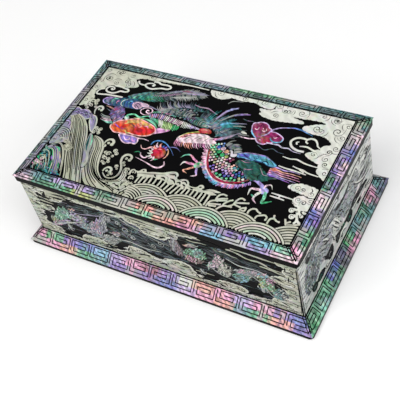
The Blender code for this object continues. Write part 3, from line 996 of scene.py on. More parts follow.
def draw_plume(pen, rng):
    """The feathered tip of the dragon's tail, at the back left of the lid."""
    spine = ((-74, 33.4), (-66, 36.4), (-54, 39.6), (-43, 43.6), (-33, 47.6), (-23, 50.6), (-11.6, 52.6))
    comb(pen, spine, ((-68, 37.8), (-60, 42.4), (-50, 45), (-40, 48.8), (-30, 54.2), (-20, 55.6),
        (-9, 53.4)), 74, 0.62, ("slate", "teal", "charcoal", "ash", "slate", "lilac_grey", "ash",
        "lilac_grey"), 3, rng, 0.05, 0.2, 0.2, 1.2)
    comb(pen, spine, ((-64, 31), (-55, 32.6), (-45, 36), (-36, 38.4), (-27, 41), (-19, 44.4), (-9, 51)), 70,
        0.6, ("teal", "deep_teal", "emerald", "slate", "charcoal", "ash", "slate", "ash"), 3, rng, -0.12,
        0.12, 0.25, 1.0)
    pen.stroke(((-72, 33.4), (-66, 35.6), (-58, 37.6), (-51, 39)), 3.2, 5,
        ("deep_teal", "teal", 0.4), 0.4, 0.2)
    comb(pen, ((-70, 31.6), (-60, 34.8), (-50, 37.8)), ((-66, 36), (-56, 39.8), (-47, 42)), 22, 0.5,
        ("mint", "deep_teal", "charcoal", "teal", "mint", "green"), 7, rng, 0.2, 0.2, 0.25, 2.0)
    pen.stroke(((-54, 39.6), (-47, 42), (-40, 45), (-32, 48.8)), 2.2, 7,
        ("lilac_grey", "pink", 0.3), 0.5, 0.5)
    comb(pen, ((-53, 39), (-45, 41.8), (-38, 45.2), (-32.6, 48)), ((-51.6, 42.2), (-44, 44.8), (-37, 48.2),
        (-31.6, 50.6)), 15, 0.6, ("line",), 9, rng, 0.0, 0.6, 0.1)
    pen.stroke(((-42, 47.6), (-33, 51), (-24, 53), (-14, 53)), 2.0, 6, "lilac_grey", 0.3, 0.2)
    pen.stroke(((-32.6, 51.4), (-28, 52.4), (-22.6, 52.2)), 2.0, 8,
        ("magenta", "lilac_grey", 0.3), 0.3, 0.2)
    pen.stroke(((-28, 50), (-21, 51), (-12, 52.6)), 1.2, 8, ("lavender", "ash", 0.4), 0.4, 0.1)
    comb(pen, ((-38, 42.6), (-30, 45.6), (-22, 48)), ((-30, 39.4), (-23, 42), (-15, 45.4)), 15, 0.6,
        ("ash", "silver", "ash"), 8, rng, 0.2, 0.1, 0.25)


def draw_dragon_rear(pen, rng):
    """The dragon's hind part on the left: blue flank, violet thigh, feathered tail and dark back."""
    stem = ((-92.2, 24.2), (-90.4, 27), (-85.7, 28.6), (-80, 29.6), (-75, 31), (-68, 32), (-60, 31.2),
        (-53.6, 29.4), (-49, 27.6), (-53, 24), (-57, 22.2), (-63, 21.6), (-70, 21), (-77, 20.2),
        (-84.5, 19.6), (-88, 20.6), (-91.6, 22.2))
    pen.shape(stem, 5, ("navy", "deep_teal", 0.4))
    comb(pen, ((-90, 22), (-80, 21), (-70, 22), (-58, 23)), ((-89, 27), (-80, 29), (-69, 31), (-57, 29)),
        26, 0.5, (("lilac_grey", "violet", 0.4), "navy", "teal", "navy", "sky", "blue", "deep_teal",
        "line"), 6, rng, 0.3, 0.2, 0.3, 1.6)
    pen.stroke(((-84, 19.8), (-90.4, 21.2), (-92.2, 24.2), (-89.4, 27.6), (-83, 28.9)), 1.0, 7,
        "lavender", 0.5, 0.4)
    for x, y, size, turn, tint in ((-81, 25, 3.4, 60, "mint"), (-86.6, 24.4, 2.3, 70, "lilac_grey"),
            (-77.8, 24.6, 1.8, 80, "pink"), (-71.6, 25.6, 4.0, 95, "pearl"), (-67.6, 26.8, 2.0, 40, "sky"),
            (-74.4, 27.6, 2.2, 80, "teal"), (-64.6, 25, 2.6, 100, "blue")):
        band = arc(x, y, size, turn, turn + 170, 10)
        pen.ribbon(band, 0.95 * swell(len(band), 0.3, 1.0, 0.3), 8, tint)
    pen.shape(((-65, 28), (-60, 29.8), (-56, 28), (-56.4, 24.4), (-59.4, 22.6), (-63.6, 24)), 7,
        ("lilac_grey", "pink", 0.3), "blush", 0.6)
    pen.shape(((-58, 29.4), (-54.4, 29.8), (-51, 28.4), (-52.6, 26.4), (-56, 26.6)), 8,
        ("lilac_grey", "blush", 0.4), "blush", 0.5)
    pen.stroke(((-63.4, 26.6), (-60, 25.2), (-57.2, 22.8)), 0.8, 9, "charcoal")
    pen.stroke(((-62.6, 28), (-59.4, 27.6), (-57.4, 25.6)), 0.6, 9, "line")
    pen.plate(disc(-49.8, 22.2, 5.2, 20), 8, "line")
    pen.stroke(((-47.6, 23.2), (-49.4, 23.8), (-49.6, 21.8), (-47.4, 20.8), (-45, 22.2), (-45.6, 25),
        (-49, 26.4), (-53, 25), (-54.8, 22), (-53, 19.2), (-49, 18.4), (-45.4, 19.6)), 1.0, 10,
        "blush", 0.9, 0.4)
    pen.stroke(((-55, 28.6), (-49, 28), (-42, 26.4), (-38.6, 25)), 0.8, 8, "lilac_grey")
    thigh = ((-77, 20.4), (-71, 20.6), (-66.4, 16), (-64.6, 9.6), (-66, 4.6), (-70, 5), (-74.6, 7.4),
        (-77.6, 11), (-79, 16))
    pen.shape(thigh, 4, ("charcoal", "violet", 0.3))
    brush(pen, thigh, 62, 4.6, 0.95, 1.35, (("violet", "lilac_grey", 0.5), "lilac_grey", "violet",
        "lavender", ("pink", "lilac_grey", 0.5), "magenta"), 6, rng, 0.06)
    pen.stroke(((-86, 18.4), (-80, 17.4), (-75.4, 15.6)), 1.3, 6, ("salmon", "charcoal", 0.5))
    pen.stroke(((-84, 15.6), (-79.6, 14), (-76, 12.4)), 0.7, 6, "slate")
    comb(pen, ((-76, 8), (-73, 5), (-70, 2.6)), ((-85, 9.4), (-83, 4.4), (-79, 2.6)), 6, 0.95,
        ("ash", "pearl", "blush", "mint"), 5, rng, 0.1, 0.1)
    draw_plume(pen, rng)
    back = ((4, 25), (-6, 28.6), (-16, 30), (-27, 28.4), (-37, 25.4), (-44, 22.6))
    dark = (("charcoal", "deep_teal", "line"), ("charcoal", "ash", "deep_teal", "charcoal"),
        ("charcoal", "deep_teal", "line"))
    scaled_body(pen, back, (6.0, 7.0, 7.2, 6.0, 3.6, 1.2), 6, 2.3, zones(dark, dark, dark), 5, rng)
    comb(pen, ((-38, 26), (-30, 31.6), (-20, 35.4), (-10, 35.4), (2, 31)), ((-45, 31), (-36, 37.4),
        (-25, 40.6), (-13, 41.6), (0, 38)), 40, 0.75, ("ash", "charcoal", "lilac_grey", "charcoal",
        "deep_teal"), 6, rng, 0.15, 0.1, 0.3, 1.2)
    comb(pen, ((-40, 24), (-32, 25), (-22, 26), (-12, 26)), ((-36, 29.4), (-28, 32), (-18, 33), (-8, 32)),
        34, 0.45, ("ash", "charcoal", "ash"), 8, rng, 0.25, 0.2, 0.25, 1.0)
    pen.shape(((-7.6, 33), (-4, 35.4), (1.2, 34.6), (3.4, 31.4), (0.4, 28.6), (-5, 28.8)), 9, "line")
    pen.stroke(((-15, 40.6), (-9.6, 39.4), (-3, 39.8), (2, 38), (7.6, 35.6)), 1.0, 10,
        ("lilac_grey", "pink", 0.3))
    draw_fire_cloud(pen)
    comb(pen, ((-45, 20.4), (-38, 22.8), (-27, 22.4), (-15, 21)), ((-43.6, 17), (-36, 18.4), (-27, 17.4),
        (-17, 16.2)), 19, 1.05, ("pink", "lavender", "blush", "pearl", ("pink", "lilac_grey", 0.5),
        "blush"), 9, rng, 0.05, 0.55, 0.15, 1.2)
    comb(pen, ((-43, 16.4), (-36, 17.4), (-27, 16.6), (-16, 15.4)), ((-38, 13), (-31, 10.4), (-25, 8.4),
        (-16, 11)), 18, 1.05, ("mint", "green", "pearl", ("lime", "mint", 0.4), "mint", "green"), 8, rng,
        0.05, 0.6, 0.12, 1.0)
    comb(pen, ((-15, 21.4), (-9, 20.2), (1.4, 18)), ((-14, 15), (-8.4, 15.6), (1.2, 16.6)), 12, 0.85,
        ("pearl", "lavender", ("lavender", "pearl", 0.5)), 9, rng, 0.05, 0.35, 0.15)
    pen.stroke(((-12, 18.4), (-6, 18.2), (1.6, 17.2)), 1.6, 8, ("lavender", "pearl", 0.3), 0.8, 0.2)
    comb(pen, ((-44, 22.6), (-34, 24.4), (-24, 23.6)), ((-42, 24.4), (-33, 26), (-23, 25)), 12, 0.6,
        ("mint", "pink", "mint"), 9, rng, 0.1, 0.3, 0.3)


def draw_fire_cloud(pen):
    """The orange and red cloud below the dragon's back, with its green and violet edges."""
    pen.stroke(((-61.4, 11.6), (-63, 13.8), (-60, 16), (-57, 16.4), (-52, 14.8), (-48.6, 16.6), (-45.6, 18),
        (-40, 17.2), (-36, 15.2)), 1.5, 7, "mint", 0.8, 0.4)
    pen.stroke(((-48, 14.4), (-42, 14), (-36.6, 12), (-31.6, 8.4)), 2.0, 7,
        ("mint", "green", 0.3), 0.3, 0.3)
    pen.stroke(((-46, 16.2), (-40, 15.2), (-33.6, 11.8), (-30, 8.4)), 0.6, 10, "line")
    pen.stroke(((-56, 13), (-50, 14), (-44, 14.6), (-38, 13.6)), 0.9, 6, "lime", 0.4, 0.4)
    pen.shape(((-63.4, 13.6), (-61, 13), (-59.6, 10.6), (-61.6, 9.4), (-64, 10.8)), 7,
        ("mint", "blush", 0.4))
    blaze = ((-69.8, 1.6), (-66.7, 6.0), (-62.4, 8.2), (-60, 9.6), (-56, 11.4), (-51.3, 13), (-45.4, 12.4),
        (-39.5, 10.8), (-33.8, 8.4), (-31.4, 4.4), (-34, -0.2), (-39.5, -2.7), (-45.4, -3.4), (-51.3, -3.2),
        (-54, -4.6), (-58.6, -4.9), (-63.4, -5.6), (-67.4, -3.6), (-69.9, -1.2))
    for form in ((blaze, 9, ("red", "orange", 0.3), ("salmon", "blush", 0.4), 0.95),
            (((-60, 8.6), (-55, 10.4), (-50.6, 12), (-44.6, 11.2), (-38.6, 9.6), (-34.6, 7), (-39, 7),
            (-46, 8.4), (-52, 8), (-57, 6.6)), 10, ("orange", "lime", 0.45)),
            (((-67.6, 2), (-64.6, 5.4), (-60.8, 6), (-60, 2.6), (-63, 0.6)), 10, ("red", "orange", 0.7)),
            (((-67.6, -1.6), (-63, -0.6), (-58, -1.6), (-54, -2.6), (-58.4, -4.4), (-63.6, -4.9)), 10,
            "orange"), (((-52, 3.2), (-47, 5), (-42, 3.6), (-42.6, 0.4), (-46, -1), (-51, -0.4)), 10,
            ("red", "crimson", 0.25))):
        pen.shape(*form)
    for path, tint in ((((-68, 2.6), (-64, 0.8), (-60.6, -0.6)), "violet"),
            (((-61.4, 1.6), (-58.4, -0.6), (-55, 0.4)), "magenta"), (((-55.6, 6.6), (-51, 5), (-48, 3)),
            "magenta"), (((-47.6, 8.6), (-45, 6.4), (-46.6, 4.4)), "salmon"),
            (((-43, 6.8), (-40, 7.6), (-38.6, 5.8)), "pink"), (((-58, 9), (-57.6, 6.6), (-60, 5)), "lime"),
            (((-56, -1.4), (-53, -3.2), (-50, -2.2)), "lime")):
        pen.stroke(path, 1.25, 12, tint, 0.2, 0.2)
    pen.plate(disc(-47.2, 9.2, 1.5, 14), 12, "salmon")
    pen.plate(disc(-47.2, 9.2, 0.8, 12), 13, "orange")
    pen.shape(((-34.6, 1), (-30, 2.8), (-24, 6.4), (-20.6, 9.8), (-26.6, 9.4), (-31.6, 8.4)), 7,
        ("pink", "lavender", 0.3))
    for lift in (0.0, 2.2, 4.4):
        pen.stroke(((-33, 2.4 + lift), (-28.6, 4 + lift), (-24, 6.6 + 0.6 * lift)), 0.5, 8,
            ("blush", "magenta")[lift == 2.2])
    pen.shape(((-58, -6.2), (-55.4, -9.4), (-51.4, -12.4), (-47.6, -13.2), (-44, -11.8), (-40.2, -11.6),
        (-39.8, -8.2), (-42.4, -5.4), (-50, -5.2)), 7, ("violet", "lavender", 0.4), "blush", 0.9)
    pen.stroke(((-53.4, -7), (-50.4, -9.8), (-47.4, -9), (-48, -7.2)), 1.1, 9, "blush", 0.3, 0.8)
    pen.stroke(((-45.6, -6.8), (-44, -9.4), (-41.8, -9.2)), 0.9, 9, "pink", 0.3, 0.8)
    pen.stroke(((-46, -5), (-41, -5.6), (-36, -5), (-31, -5.6)), 1.0, 9, "blush", 0.4, 0.2)


def draw_dragon_front(pen, rng):
    """The dragon's fore part: the scaled coil on the right, its limbs and its head in the middle."""
    red = ((18.9, 1.4), (20.6, -4.3), (22.8, -10.2), (26, -15.4), (29.9, -19.3), (34.5, -22.4), (39.7, -24),
        (44.9, -24.1), (50.7, -22.6), (55, -20.2), (59.6, -16.6))
    rim_out = offset(smooth(red, 4), -4.7)
    comb(pen, smooth(red, 4), rim_out, 58, 0.95, ("blush", "pink", "blush", "lavender",
        ("sky", "lavender", 0.5), "sky", "lavender", "blush", "pink", "lavender",
        ("violet", "lavender", 0.5)), 5, rng, 0.12, 0.5, 0.14, 1.6)
    pen.stroke(offset(smooth(red, 2), -1.3), 1.0, 8, ("blush", "pearl", 0.4), 0.5, 0.5)
    coil = ((22, 7.6), (25.4, 1), (28.8, -5.6), (34.4, -12), (41.4, -16), (48.6, -16.2),
        (55, -13.4), (61, -8))
    leaf = ("mint", ("green", "mint", 0.4), "green", ("lime", "pearl", 0.4), "pearl")
    rosy = ("blush", ("pink", "pearl", 0.3), ("salmon", "pearl", 0.3), "pearl", "ash", "line")
    dusk = ("violet", ("blue", "lavender", 0.3), "lavender", ("violet", "blue", 0.5),
        ("pink", "violet", 0.3))
    deep = (("violet", "navy", 0.4), "blue", ("teal", "blue", 0.4), "lavender", ("magenta", "violet", 0.4))
    rule = zones(((("sky", "blue", 0.4), "blush", "pearl"), leaf, rosy, rosy, (("pink", "magenta", 0.4),
        "pearl", "teal", "line"), deep), (("green", "mint", "blush"), leaf + rosy, rosy, dusk, deep, deep),
        (leaf, rosy, dusk + rosy, ("green", "mint", "green"), leaf, (("teal", "violet", 0.5), "violet")))
    scaled_body(pen, ((33, 4), (36, -1), (41, -4.6), (47, -8), (53, -11)), (2.4, 4.6, 5.0, 4.4, 3.0), 4,
        2.2, zones((rosy,), (rosy + ("magenta", "line"),), (rosy + dusk,)), 7, rng)
    scaled_body(pen, coil, (6.4, 7.6, 7.8, 8.0, 8.2, 8.0, 6.4), 6, 2.3, rule, 8, rng)
    pen.stroke(offset(smooth(red[4:9], 3), 1.5), 0.6, 12, ("blush", "salmon", 0.4), 0.3, 0.3)
    pen.stroke(red, 1.95, 12, ("crimson", "magenta", 0.25), 0.6, 0.6)
    for x, y, size, tint in ((24.6, 5.6, 1.5, "blue"), (28.4, 5.0, 1.8, "blush"),
            (32.0, 3.0, 1.7, "salmon"), (26.4, 1.2, 1.6, "green"), (30.4, -1.0, 1.7, "green"),
            (34.2, -1.6, 1.4, "lime")):
        pen.plate(disc(x, y, 1.25 * size, 14), 12, "line")
        pen.plate(disc(x, y, size, 14), 13, tint)
        pen.stroke(((x - 0.8 * size, y), (x, y + 0.4 * size), (x + 0.7 * size, y - 0.2)), 0.34, 14, "line")
    comb(pen, ((32, 9), (36, 7), (38, 3)), ((39, 12), (42.6, 8), (43.6, 5)), 12, 0.8,
        ("ash", "charcoal", "ash"), 12, rng, 0.15, 0.1)
    leg = ((39.6, 3.2), (44, 5.6), (51.3, 7), (58.6, 8), (62.3, 7.9), (65.9, 6.1), (70.3, 3.9), (73.3, 1.6),
        (70.3, -0.4), (65.9, 0.2), (62.3, 1.4), (57.1, 1.2), (51.3, 0.6), (46.9, 1.2), (42.5, 0.6))
    pen.shape(leg, 11, "sky", "navy", 0.5)
    pen.shape(((41, 3), (45, 5), (50, 5.8), (49.6, 2.2), (45.6, 2.2)), 12, ("blue", "violet", 0.4))
    pen.stroke(((51.6, 6.6), (58.6, 7.6), (62.6, 7.4), (67, 5.2)), 1.0, 13, "violet")
    pen.shape(((52, 5.4), (57, 6.8), (61.6, 6.6), (64, 4.6), (60, 3.2), (55, 2.6)), 12,
        ("sky", "teal", 0.5))
    pen.stroke(((60, 3.4), (64, 4.6), (68, 2.8), (71, 1.6)), 1.9, 13, ("teal", "navy", 0.2))
    for path, width, tint in ((((42.6, 1.4), (48, 2.4), (55, 1.6), (62, 2.0)), 0.8, "navy"),
            (((45.4, 4.9), (47.6, 3.4), (50.6, 3.2)), 0.6, "line"), (((65.6, 5.3), (68.2, 3.9), (71, 1.4)),
            0.6, "line"), (((51.8, 4.2), (53, 2.6), (52.4, 1)), 0.6, "navy"),
            (((42, 3.9), (46.6, 6.5), (53, 7.6), (60, 8.2)), 0.6, ("violet", "blush", 0.4))):
        pen.stroke(path, width, 14, tint)
    scroll(pen, 56.2, 4.5, 2.0, 100, 1, 14, 0.75, "navy")
    pen.stroke(((61.4, 1.6), (63.4, 3.2), (66, 2.2), (67, 0.4)), 0.9, 14, "line", 0.5, 0.5)
    haunch = ((44, -2.8), (46.9, -1.4), (52.7, -0.2), (58.6, -0.8), (62, -3), (65, -5.4), (69, -7.6),
        (71.8, -10), (71.6, -13.4), (67.4, -14.6), (62.3, -15), (58.6, -15.6), (55.4, -13.8), (53.4, -11.2),
        (51, -8.6), (47.6, -7.2), (44.6, -5.6))
    pen.plate(scalloped(smooth(haunch, 4, True), (), 3.4, 0.3, rng), 12, (("deep_teal", "emerald", 0.25),
        "line", 0.38))
    brush(pen, haunch, -20, 5.0, 0.7, 1.5, (("deep_teal", "line", 0.4), ("deep_teal", "emerald", 0.35),
        ("deep_teal", "line", 0.2)), 13, rng, 0.3)
    for path, width, tint in ((((46, -1.2), (50, -2.2), (54, -1.4)), 0.5, ("pink", "slate", 0.3)),
            (((51.6, -8.2), (55, -8), (58, -6.4)), 0.6, ("pink", "slate", 0.4)),
            (((62.6, -3.6), (65, -6.4), (67.4, -9), (71, -9)), 0.6, ("blush", "slate", 0.4)),
            (((44, -5.4), (48, -8.4), (52, -10), (54.6, -14.4)), 0.8, "line"),
            (((65.4, -9), (64.4, -12), (66, -14.6)), 0.9, "line"), (((58, -11), (61, -12)), 0.6, "line")):
        pen.stroke(path, width, 14, tint)
    pen.stroke(((69.6, -11.6), (73, -10.6), (78, -9.4)), 2.4, 11, ("charcoal", "deep_teal", 0.3), 0.8, 0.2)
    pen.shape(((34.6, 5.4), (36.6, 4.8), (37.8, 2.6), (40.2, 3.6), (41.4, 1.6), (39.6, -0.4), (36.8, -0.4),
        (35.6, 2.4)), 15, ("pearl", "lavender", 0.25), "line", 0.3)
    for k, (y, end, tint) in enumerate(((0.4, 92, "lavender"), (-1.6, 94, "salmon"), (-3.2, 93, "pink"),
            (-5.0, 94.6, "pink"), (-6.6, 92, "lavender"), (-7.9, 88, "violet"))):
        pen.stroke(((69.6, y - 0.6), (75, y), (80, y - 0.9), (86, y - 0.2 - 0.3 * k),
            (end, y - 0.7 - 0.3 * k)), 1.15, 9, tint, 1.0, 0.2, 0.2)
    pen.plate(disc(72.8, -1.8, 1.7, 12), 10, ("orange", "salmon", 0.5))
    pen.stroke(((71.4, -3.8), (74, -5.4), (79, -6.2)), 1.5, 10, ("violet", "lavender", 0.6))
    pen.shape(((20.4, -12), (17, -12.4), (14.6, -14.6), (14.8, -17.4), (17.2, -18.8), (20, -16.4)), 6,
        ("green", "blush", 0.4))
    talon(pen, ((16, -13.2), (12, -11.2), (7.6, -8.4), (3.4, -9.6), (1.4, -13)), 1.8, ("pink", "mint"), 8)
    talon(pen, ((14.6, -16), (9.6, -16), (6, -16.2), (4.8, -20)), 2.2, ("pink", "pearl"), 8)
    talon(pen, ((15.4, -18.4), (12.4, -21), (9.2, -23.6), (13.4, -25.4)), 1.7, ("salmon", "salmon"), 8)
    talon(pen, ((18, -18.4), (19.4, -22), (20.8, -25), (17, -27)), 1.7, ("lavender", "blush"), 8)
    for x, y, size, tint in ((17.4, -14.4, 1.1, "green"), (16, -17.0, 0.9, "mint"),
            (19.4, -14.4, 0.9, ("pink", "salmon", 0.5))):
        pen.plate(disc(x, y, size, 10), 9, tint)
    pen.stroke(((60, -15.4), (65, -15.6), (70, -18), (74.6, -21.4)), 2.8, 8, ("lavender", "blue", 0.2),
        0.7, 1.0, 0.7)
    pen.shape(((70.6, -19.6), (74, -19), (77, -20.6), (77.2, -23.6), (74, -25.4), (71, -23.6)), 9,
        ("lavender", "sky", 0.3))
    talon(pen, ((72, -22.4), (68.1, -22.6), (64.6, -23.6), (64.8, -29.4)), 2.0, ("blush", "pearl"), 10)
    talon(pen, ((73, -23.6), (70.4, -27.4), (70, -31.4), (73.6, -34.4)), 2.2, ("pearl", "blush"), 10)
    talon(pen, ((75.8, -23), (77, -28), (77.2, -32.6), (83.4, -29.2)), 2.5, ("mint", "green"), 10)
    talon(pen, ((73.4, -20.4), (73.8, -17.4), (77, -16), (79.4, -19.4)), 1.3, ("blush", "pearl"), 10)
    pen.stroke(((67, -28), (68.6, -29), (70, -29.6)), 1.5, 9, "green")
    draw_head(pen, rng)


def draw_head(pen, rng):
    """The dragon's head in the middle of the lid: mane, brow, horns and bristled jaw."""
    pen.shape(((-8, 28), (0, 31), (8, 33), (16, 33), (24, 31), (30, 27), (33, 21), (30, 15), (24, 13),
        (18, 15), (12, 20), (4, 20.4), (-6, 21.6)), 10, "line")
    comb(pen, ((-3, 25), (4, 24.6), (12, 23), (18, 19), (22, 13)), ((-4, 34), (7, 37.4), (19, 35.6),
        (30, 29.6), (36, 18)), 66, 0.56, ("charcoal", "teal", "slate", "charcoal", "teal", "deep_teal",
        "slate", "charcoal"), 11, rng, 0.08, 0.15, 0.32, 1.4)
    comb(pen, ((-2, 22), (6, 22), (13, 19.6), (17, 15)), ((1, 29.6), (10, 31), (20, 27), (26, 19)), 44, 0.5,
        ("deep_teal", "teal", "slate", "ash", "charcoal", "teal"), 14, rng, -0.1, 0.15, 0.3, 1.6)
    comb(pen, ((14, 26.6), (18, 24.6)), ((24, 31.4), (31, 26.6)), 8, 0.75, ("sky", "teal", "teal"), 17, rng,
        0.1, 0.1, 0.2)
    brush(pen, ((8, 23.4), (14, 24), (20, 21), (22, 15), (17, 14.4), (12, 19)), 40, 2.2, 0.75, 1.1,
        ("slate", "charcoal", "ash", "deep_teal"), 17, rng, 0.1)
    pen.shape(((-13, 24.6), (-11, 27), (-6, 28.8), (0, 28), (5.6, 25.4), (8.6, 22), (5, 19.8), (-2, 20.4),
        (-9, 21.6)), 15, ("charcoal", "deep_teal", 0.5))
    comb(pen, ((-12, 23), (-5, 22), (3, 20.6)), ((-9, 26.8), (-2, 27.4), (6, 24.4)), 22, 0.42,
        ("slate", "line", "teal", "line", "ash"), 17, rng, 0.3, 0.2, 0.3, 2.0)
    scroll(pen, -9.8, 24.2, 1.2, 20, -1, 18, 0.36, "mint")
    pen.stroke(((3.2, 21.0), (5.6, 22.4), (9.2, 22.3)), 1.0, 19, "pearl", 0.3, 0.3)
    pen.plate(disc(5.6, 22.1, 0.5, 10), 20, "line")
    pen.stroke(((0.6, 23.2), (4.4, 25.4), (8.4, 24.8)), 0.6, 19, "mint")
    for path, width, tint in ((((8.6, 31), (11.6, 38.6), (14.6, 43), (20.6, 47.4)), 1.7,
            ("lilac_grey", "lavender", 0.5)), (((13.4, 41.4), (16.4, 44.6), (20.4, 46.6)), 2.0,
            ("lavender", "sky", 0.3)), (((12.6, 30), (18, 36.6), (23, 40.6), (30, 43.6)), 1.2, "ash"),
            (((20.6, 38.6), (26, 41.4), (32.6, 43.2)), 1.7, ("violet", "lilac_grey", 0.5)),
            (((22, 30.4), (28, 32), (34, 33.4)), 0.8, "lilac_grey"), (((25, 28), (30, 29.6), (34.6, 30.2)),
            0.9, "ash"), (((28.6, 37.6), (33.4, 36.8), (38, 37.4)), 0.7, "charcoal")):
        pen.stroke(path, width, 20, tint, 0.5, 0.2)
    comb(pen, ((16.6, 9.6), (21, 11.6), (25, 14), (28.6, 17)), ((22.6, 14.6), (26.4, 17.4), (30, 20),
        (33.6, 23)), 15, 0.62, ("pink", "lavender", "lilac_grey", ("pink", "ash", 0.5), "lilac_grey"), 20,
        rng, 0.1, 0.2, 0.15)
    comb(pen, ((28.4, 9), (31, 7.4), (34, 5.4)), ((32.6, 14), (36, 11.6), (38.6, 8.4)), 11, 0.55,
        ("ash", "charcoal", "slate"), 14, rng, 0.15, 0.15, 0.3)
    draw_jaw(pen, rng)


def draw_jaw(pen, rng):
    """The lower jaw with its bristles, the lips and the tongue."""
    pen.shape(((1.8, 15.2), (1.6, 17.4), (4.4, 19.3), (8, 19.5), (11.2, 18.2), (11.6, 15.8), (8, 15.2),
        (5, 14.4)), 21, ("red", "crimson", 0.4))
    pen.stroke(((3, 17), (6.4, 18.2), (10.2, 17.4)), 0.6, 22, "salmon", 0.2, 0.2)
    pen.shape(((-11.2, 4), (-9.4, 7.4), (-5, 10.4), (0, 12), (6, 13.4), (11, 13.4), (16, 11), (20.6, 8.4),
        (17, 6), (11, 5), (6, 3.8), (0, 2.2), (-5, 1), (-9.6, 1.4)), 18, ("blush", "pearl", 0.4))
    for k in range(9):
        x, y = -9.6 + 2.9 * k, 2.2 + 0.55 * k
        tint = (("magenta", "line", 0.3), "pink", "line", "pink", ("magenta", "lilac_grey", 0.4))[k % 5]
        pen.stroke(((x - 0.6, y), (x + 0.8, y + 3.2), (x + 2.8, y + 5.2), (x + 5.2, y + 6.2)), 0.55, 19,
            tint, 0.3, 0.3)
    for k in range(6):
        x, y = -8.4 + 4.1 * k, 5.0 + 0.9 * k
        pen.stroke(((x, y), (x + 1.6, y + 1.8), (x + 4.4, y + 2.6)), 0.8, 20, "pearl", 0.3, 0.2)
    comb(pen, ((-10.6, 2.6), (-4, 1.8), (3, 3.2), (10, 4.8), (16, 6)), ((-9, -3.2), (-2, -3.6), (7, -1.6),
        (14.4, 0.6), (20, 3)), 20, 0.72, ("pink", "blush", "salmon", "blush", "pink", "blush"), 17, rng,
        -0.15, 0.12, 0.25)
    pen.stroke(((-10.4, 5), (-7, 9.8), (-1.6, 13), (3, 15), (9, 15.4)), 0.7, 21, "lime", 0.5, 0.3)
    pen.stroke(((-9.4, 5.6), (-5.4, 9.6), (-1, 12), (4, 14)), 0.8, 22, "orange", 0.5, 0.4)
    pen.stroke(((-7.6, 5.4), (-4.8, 7.8), (-1.4, 9.4)), 1.4, 23, "crimson", 0.4, 0.3)


def draw_magenta_cloud(pen):
    """The magenta cloud on the right of the dragon, with pale edges and long trails."""
    lobes = ((38.6, 33.9), (39, 36.3), (41.8, 37.5), (43.2, 38.6), (47.6, 38.8), (50.5, 37.2), (52, 35),
        (54.2, 33.9), (55, 32), (58.6, 31.9), (63, 30.4), (66.3, 28.1), (66.4, 25), (64.5, 23.1),
        (60.8, 22.4), (59.7, 21.2), (57.1, 20), (54.2, 18.2), (50.5, 18.6), (47.6, 20.5), (46.2, 22.9),
        (44, 24.4), (41, 27.3), (39.9, 29.9))
    pen.shape(lobes, 3, "magenta", ("lavender", "blush", 0.4), 0.9)
    pen.shape(((49, 20.6), (54, 19.8), (57.6, 22), (57, 25.6), (52.6, 26), (49.4, 24)), 4,
        ("magenta", "crimson", 0.55))
    pen.stroke(((66.4, 27.8), (66, 24.4), (62, 22.6), (58.6, 23.6), (57, 25.8)), 1.1, 6, "sky", 0.5, 0.8)
    pen.stroke(((39.8, 30.4), (41.4, 27), (44.4, 24), (46.6, 22.2)), 1.1, 6, "sky", 0.4, 0.4)
    for path in (((41.6, 31.6), (43, 30.6), (44.6, 31.6), (44.2, 33.4)), ((48, 31.4), (49, 30.4),
            (51, 31.4), (50.4, 33.4)), ((47.6, 33.4), (48.4, 32.4)), ((59, 26.8), (60.4, 26.4),
            (61.8, 27.6)), ((49.6, 21.6), (51, 21.6))):
        pen.stroke(path, 0.8, 6, "blush", 0.4, 0.4)
    for x, y, size, start, hand in ((45.6, 35.6, 1.6, 60, -1), (52.8, 29.8, 1.9, 100, 1),
            (61.8, 29.0, 1.3, 0, 1)):
        scroll(pen, x, y, size, start, hand, 5, 0.5, "line")
    trail = ((49.6, 25.4), (53.4, 28.8), (55, 33.2), (59.3, 36.9), (64.5, 38.8), (70.3, 40.2), (76.2, 39.8),
        (80.6, 38.4), (86, 36.8))
    for stroke in ((trail[:6], 1.15, 8, ("lavender", "ash", 0.3), 0.7, 0.6), (trail[4:], 1.15, 9,
            ("sky", "blue", 0.5), 0.5, 0.2), (((56, 20.6), (62, 20.7), (66, 20.9), (69.6, 19.3), (74, 20),
            (78.4, 18.3), (84.6, 18)), 1.15, 6, ("lavender", "pearl", 0.5), 0.8, 0.3),
            (((51, 16.4), (57.6, 13.4), (63, 16.2), (68, 14.4), (73, 14)), 0.8, 4, "charcoal"),
            (((30, 20.8), (36, 20.2), (42, 20.3), (46.6, 21.6)), 1.0, 6, "blush", 0.3, 0.9),
            (((30, 23.4), (35, 22.2), (41, 22.8)), 0.8, 6, "ash")):
        pen.stroke(*stroke)
    pen.shape(((33.6, 25.6), (35.6, 25.8), (38.6, 24), (35.4, 23.4), (33.6, 24.2)), 6, "pearl")
    pen.stroke(((9.8, 49.4), (13, 53), (20.8, 54.4)), 0.8, 3, "ash")


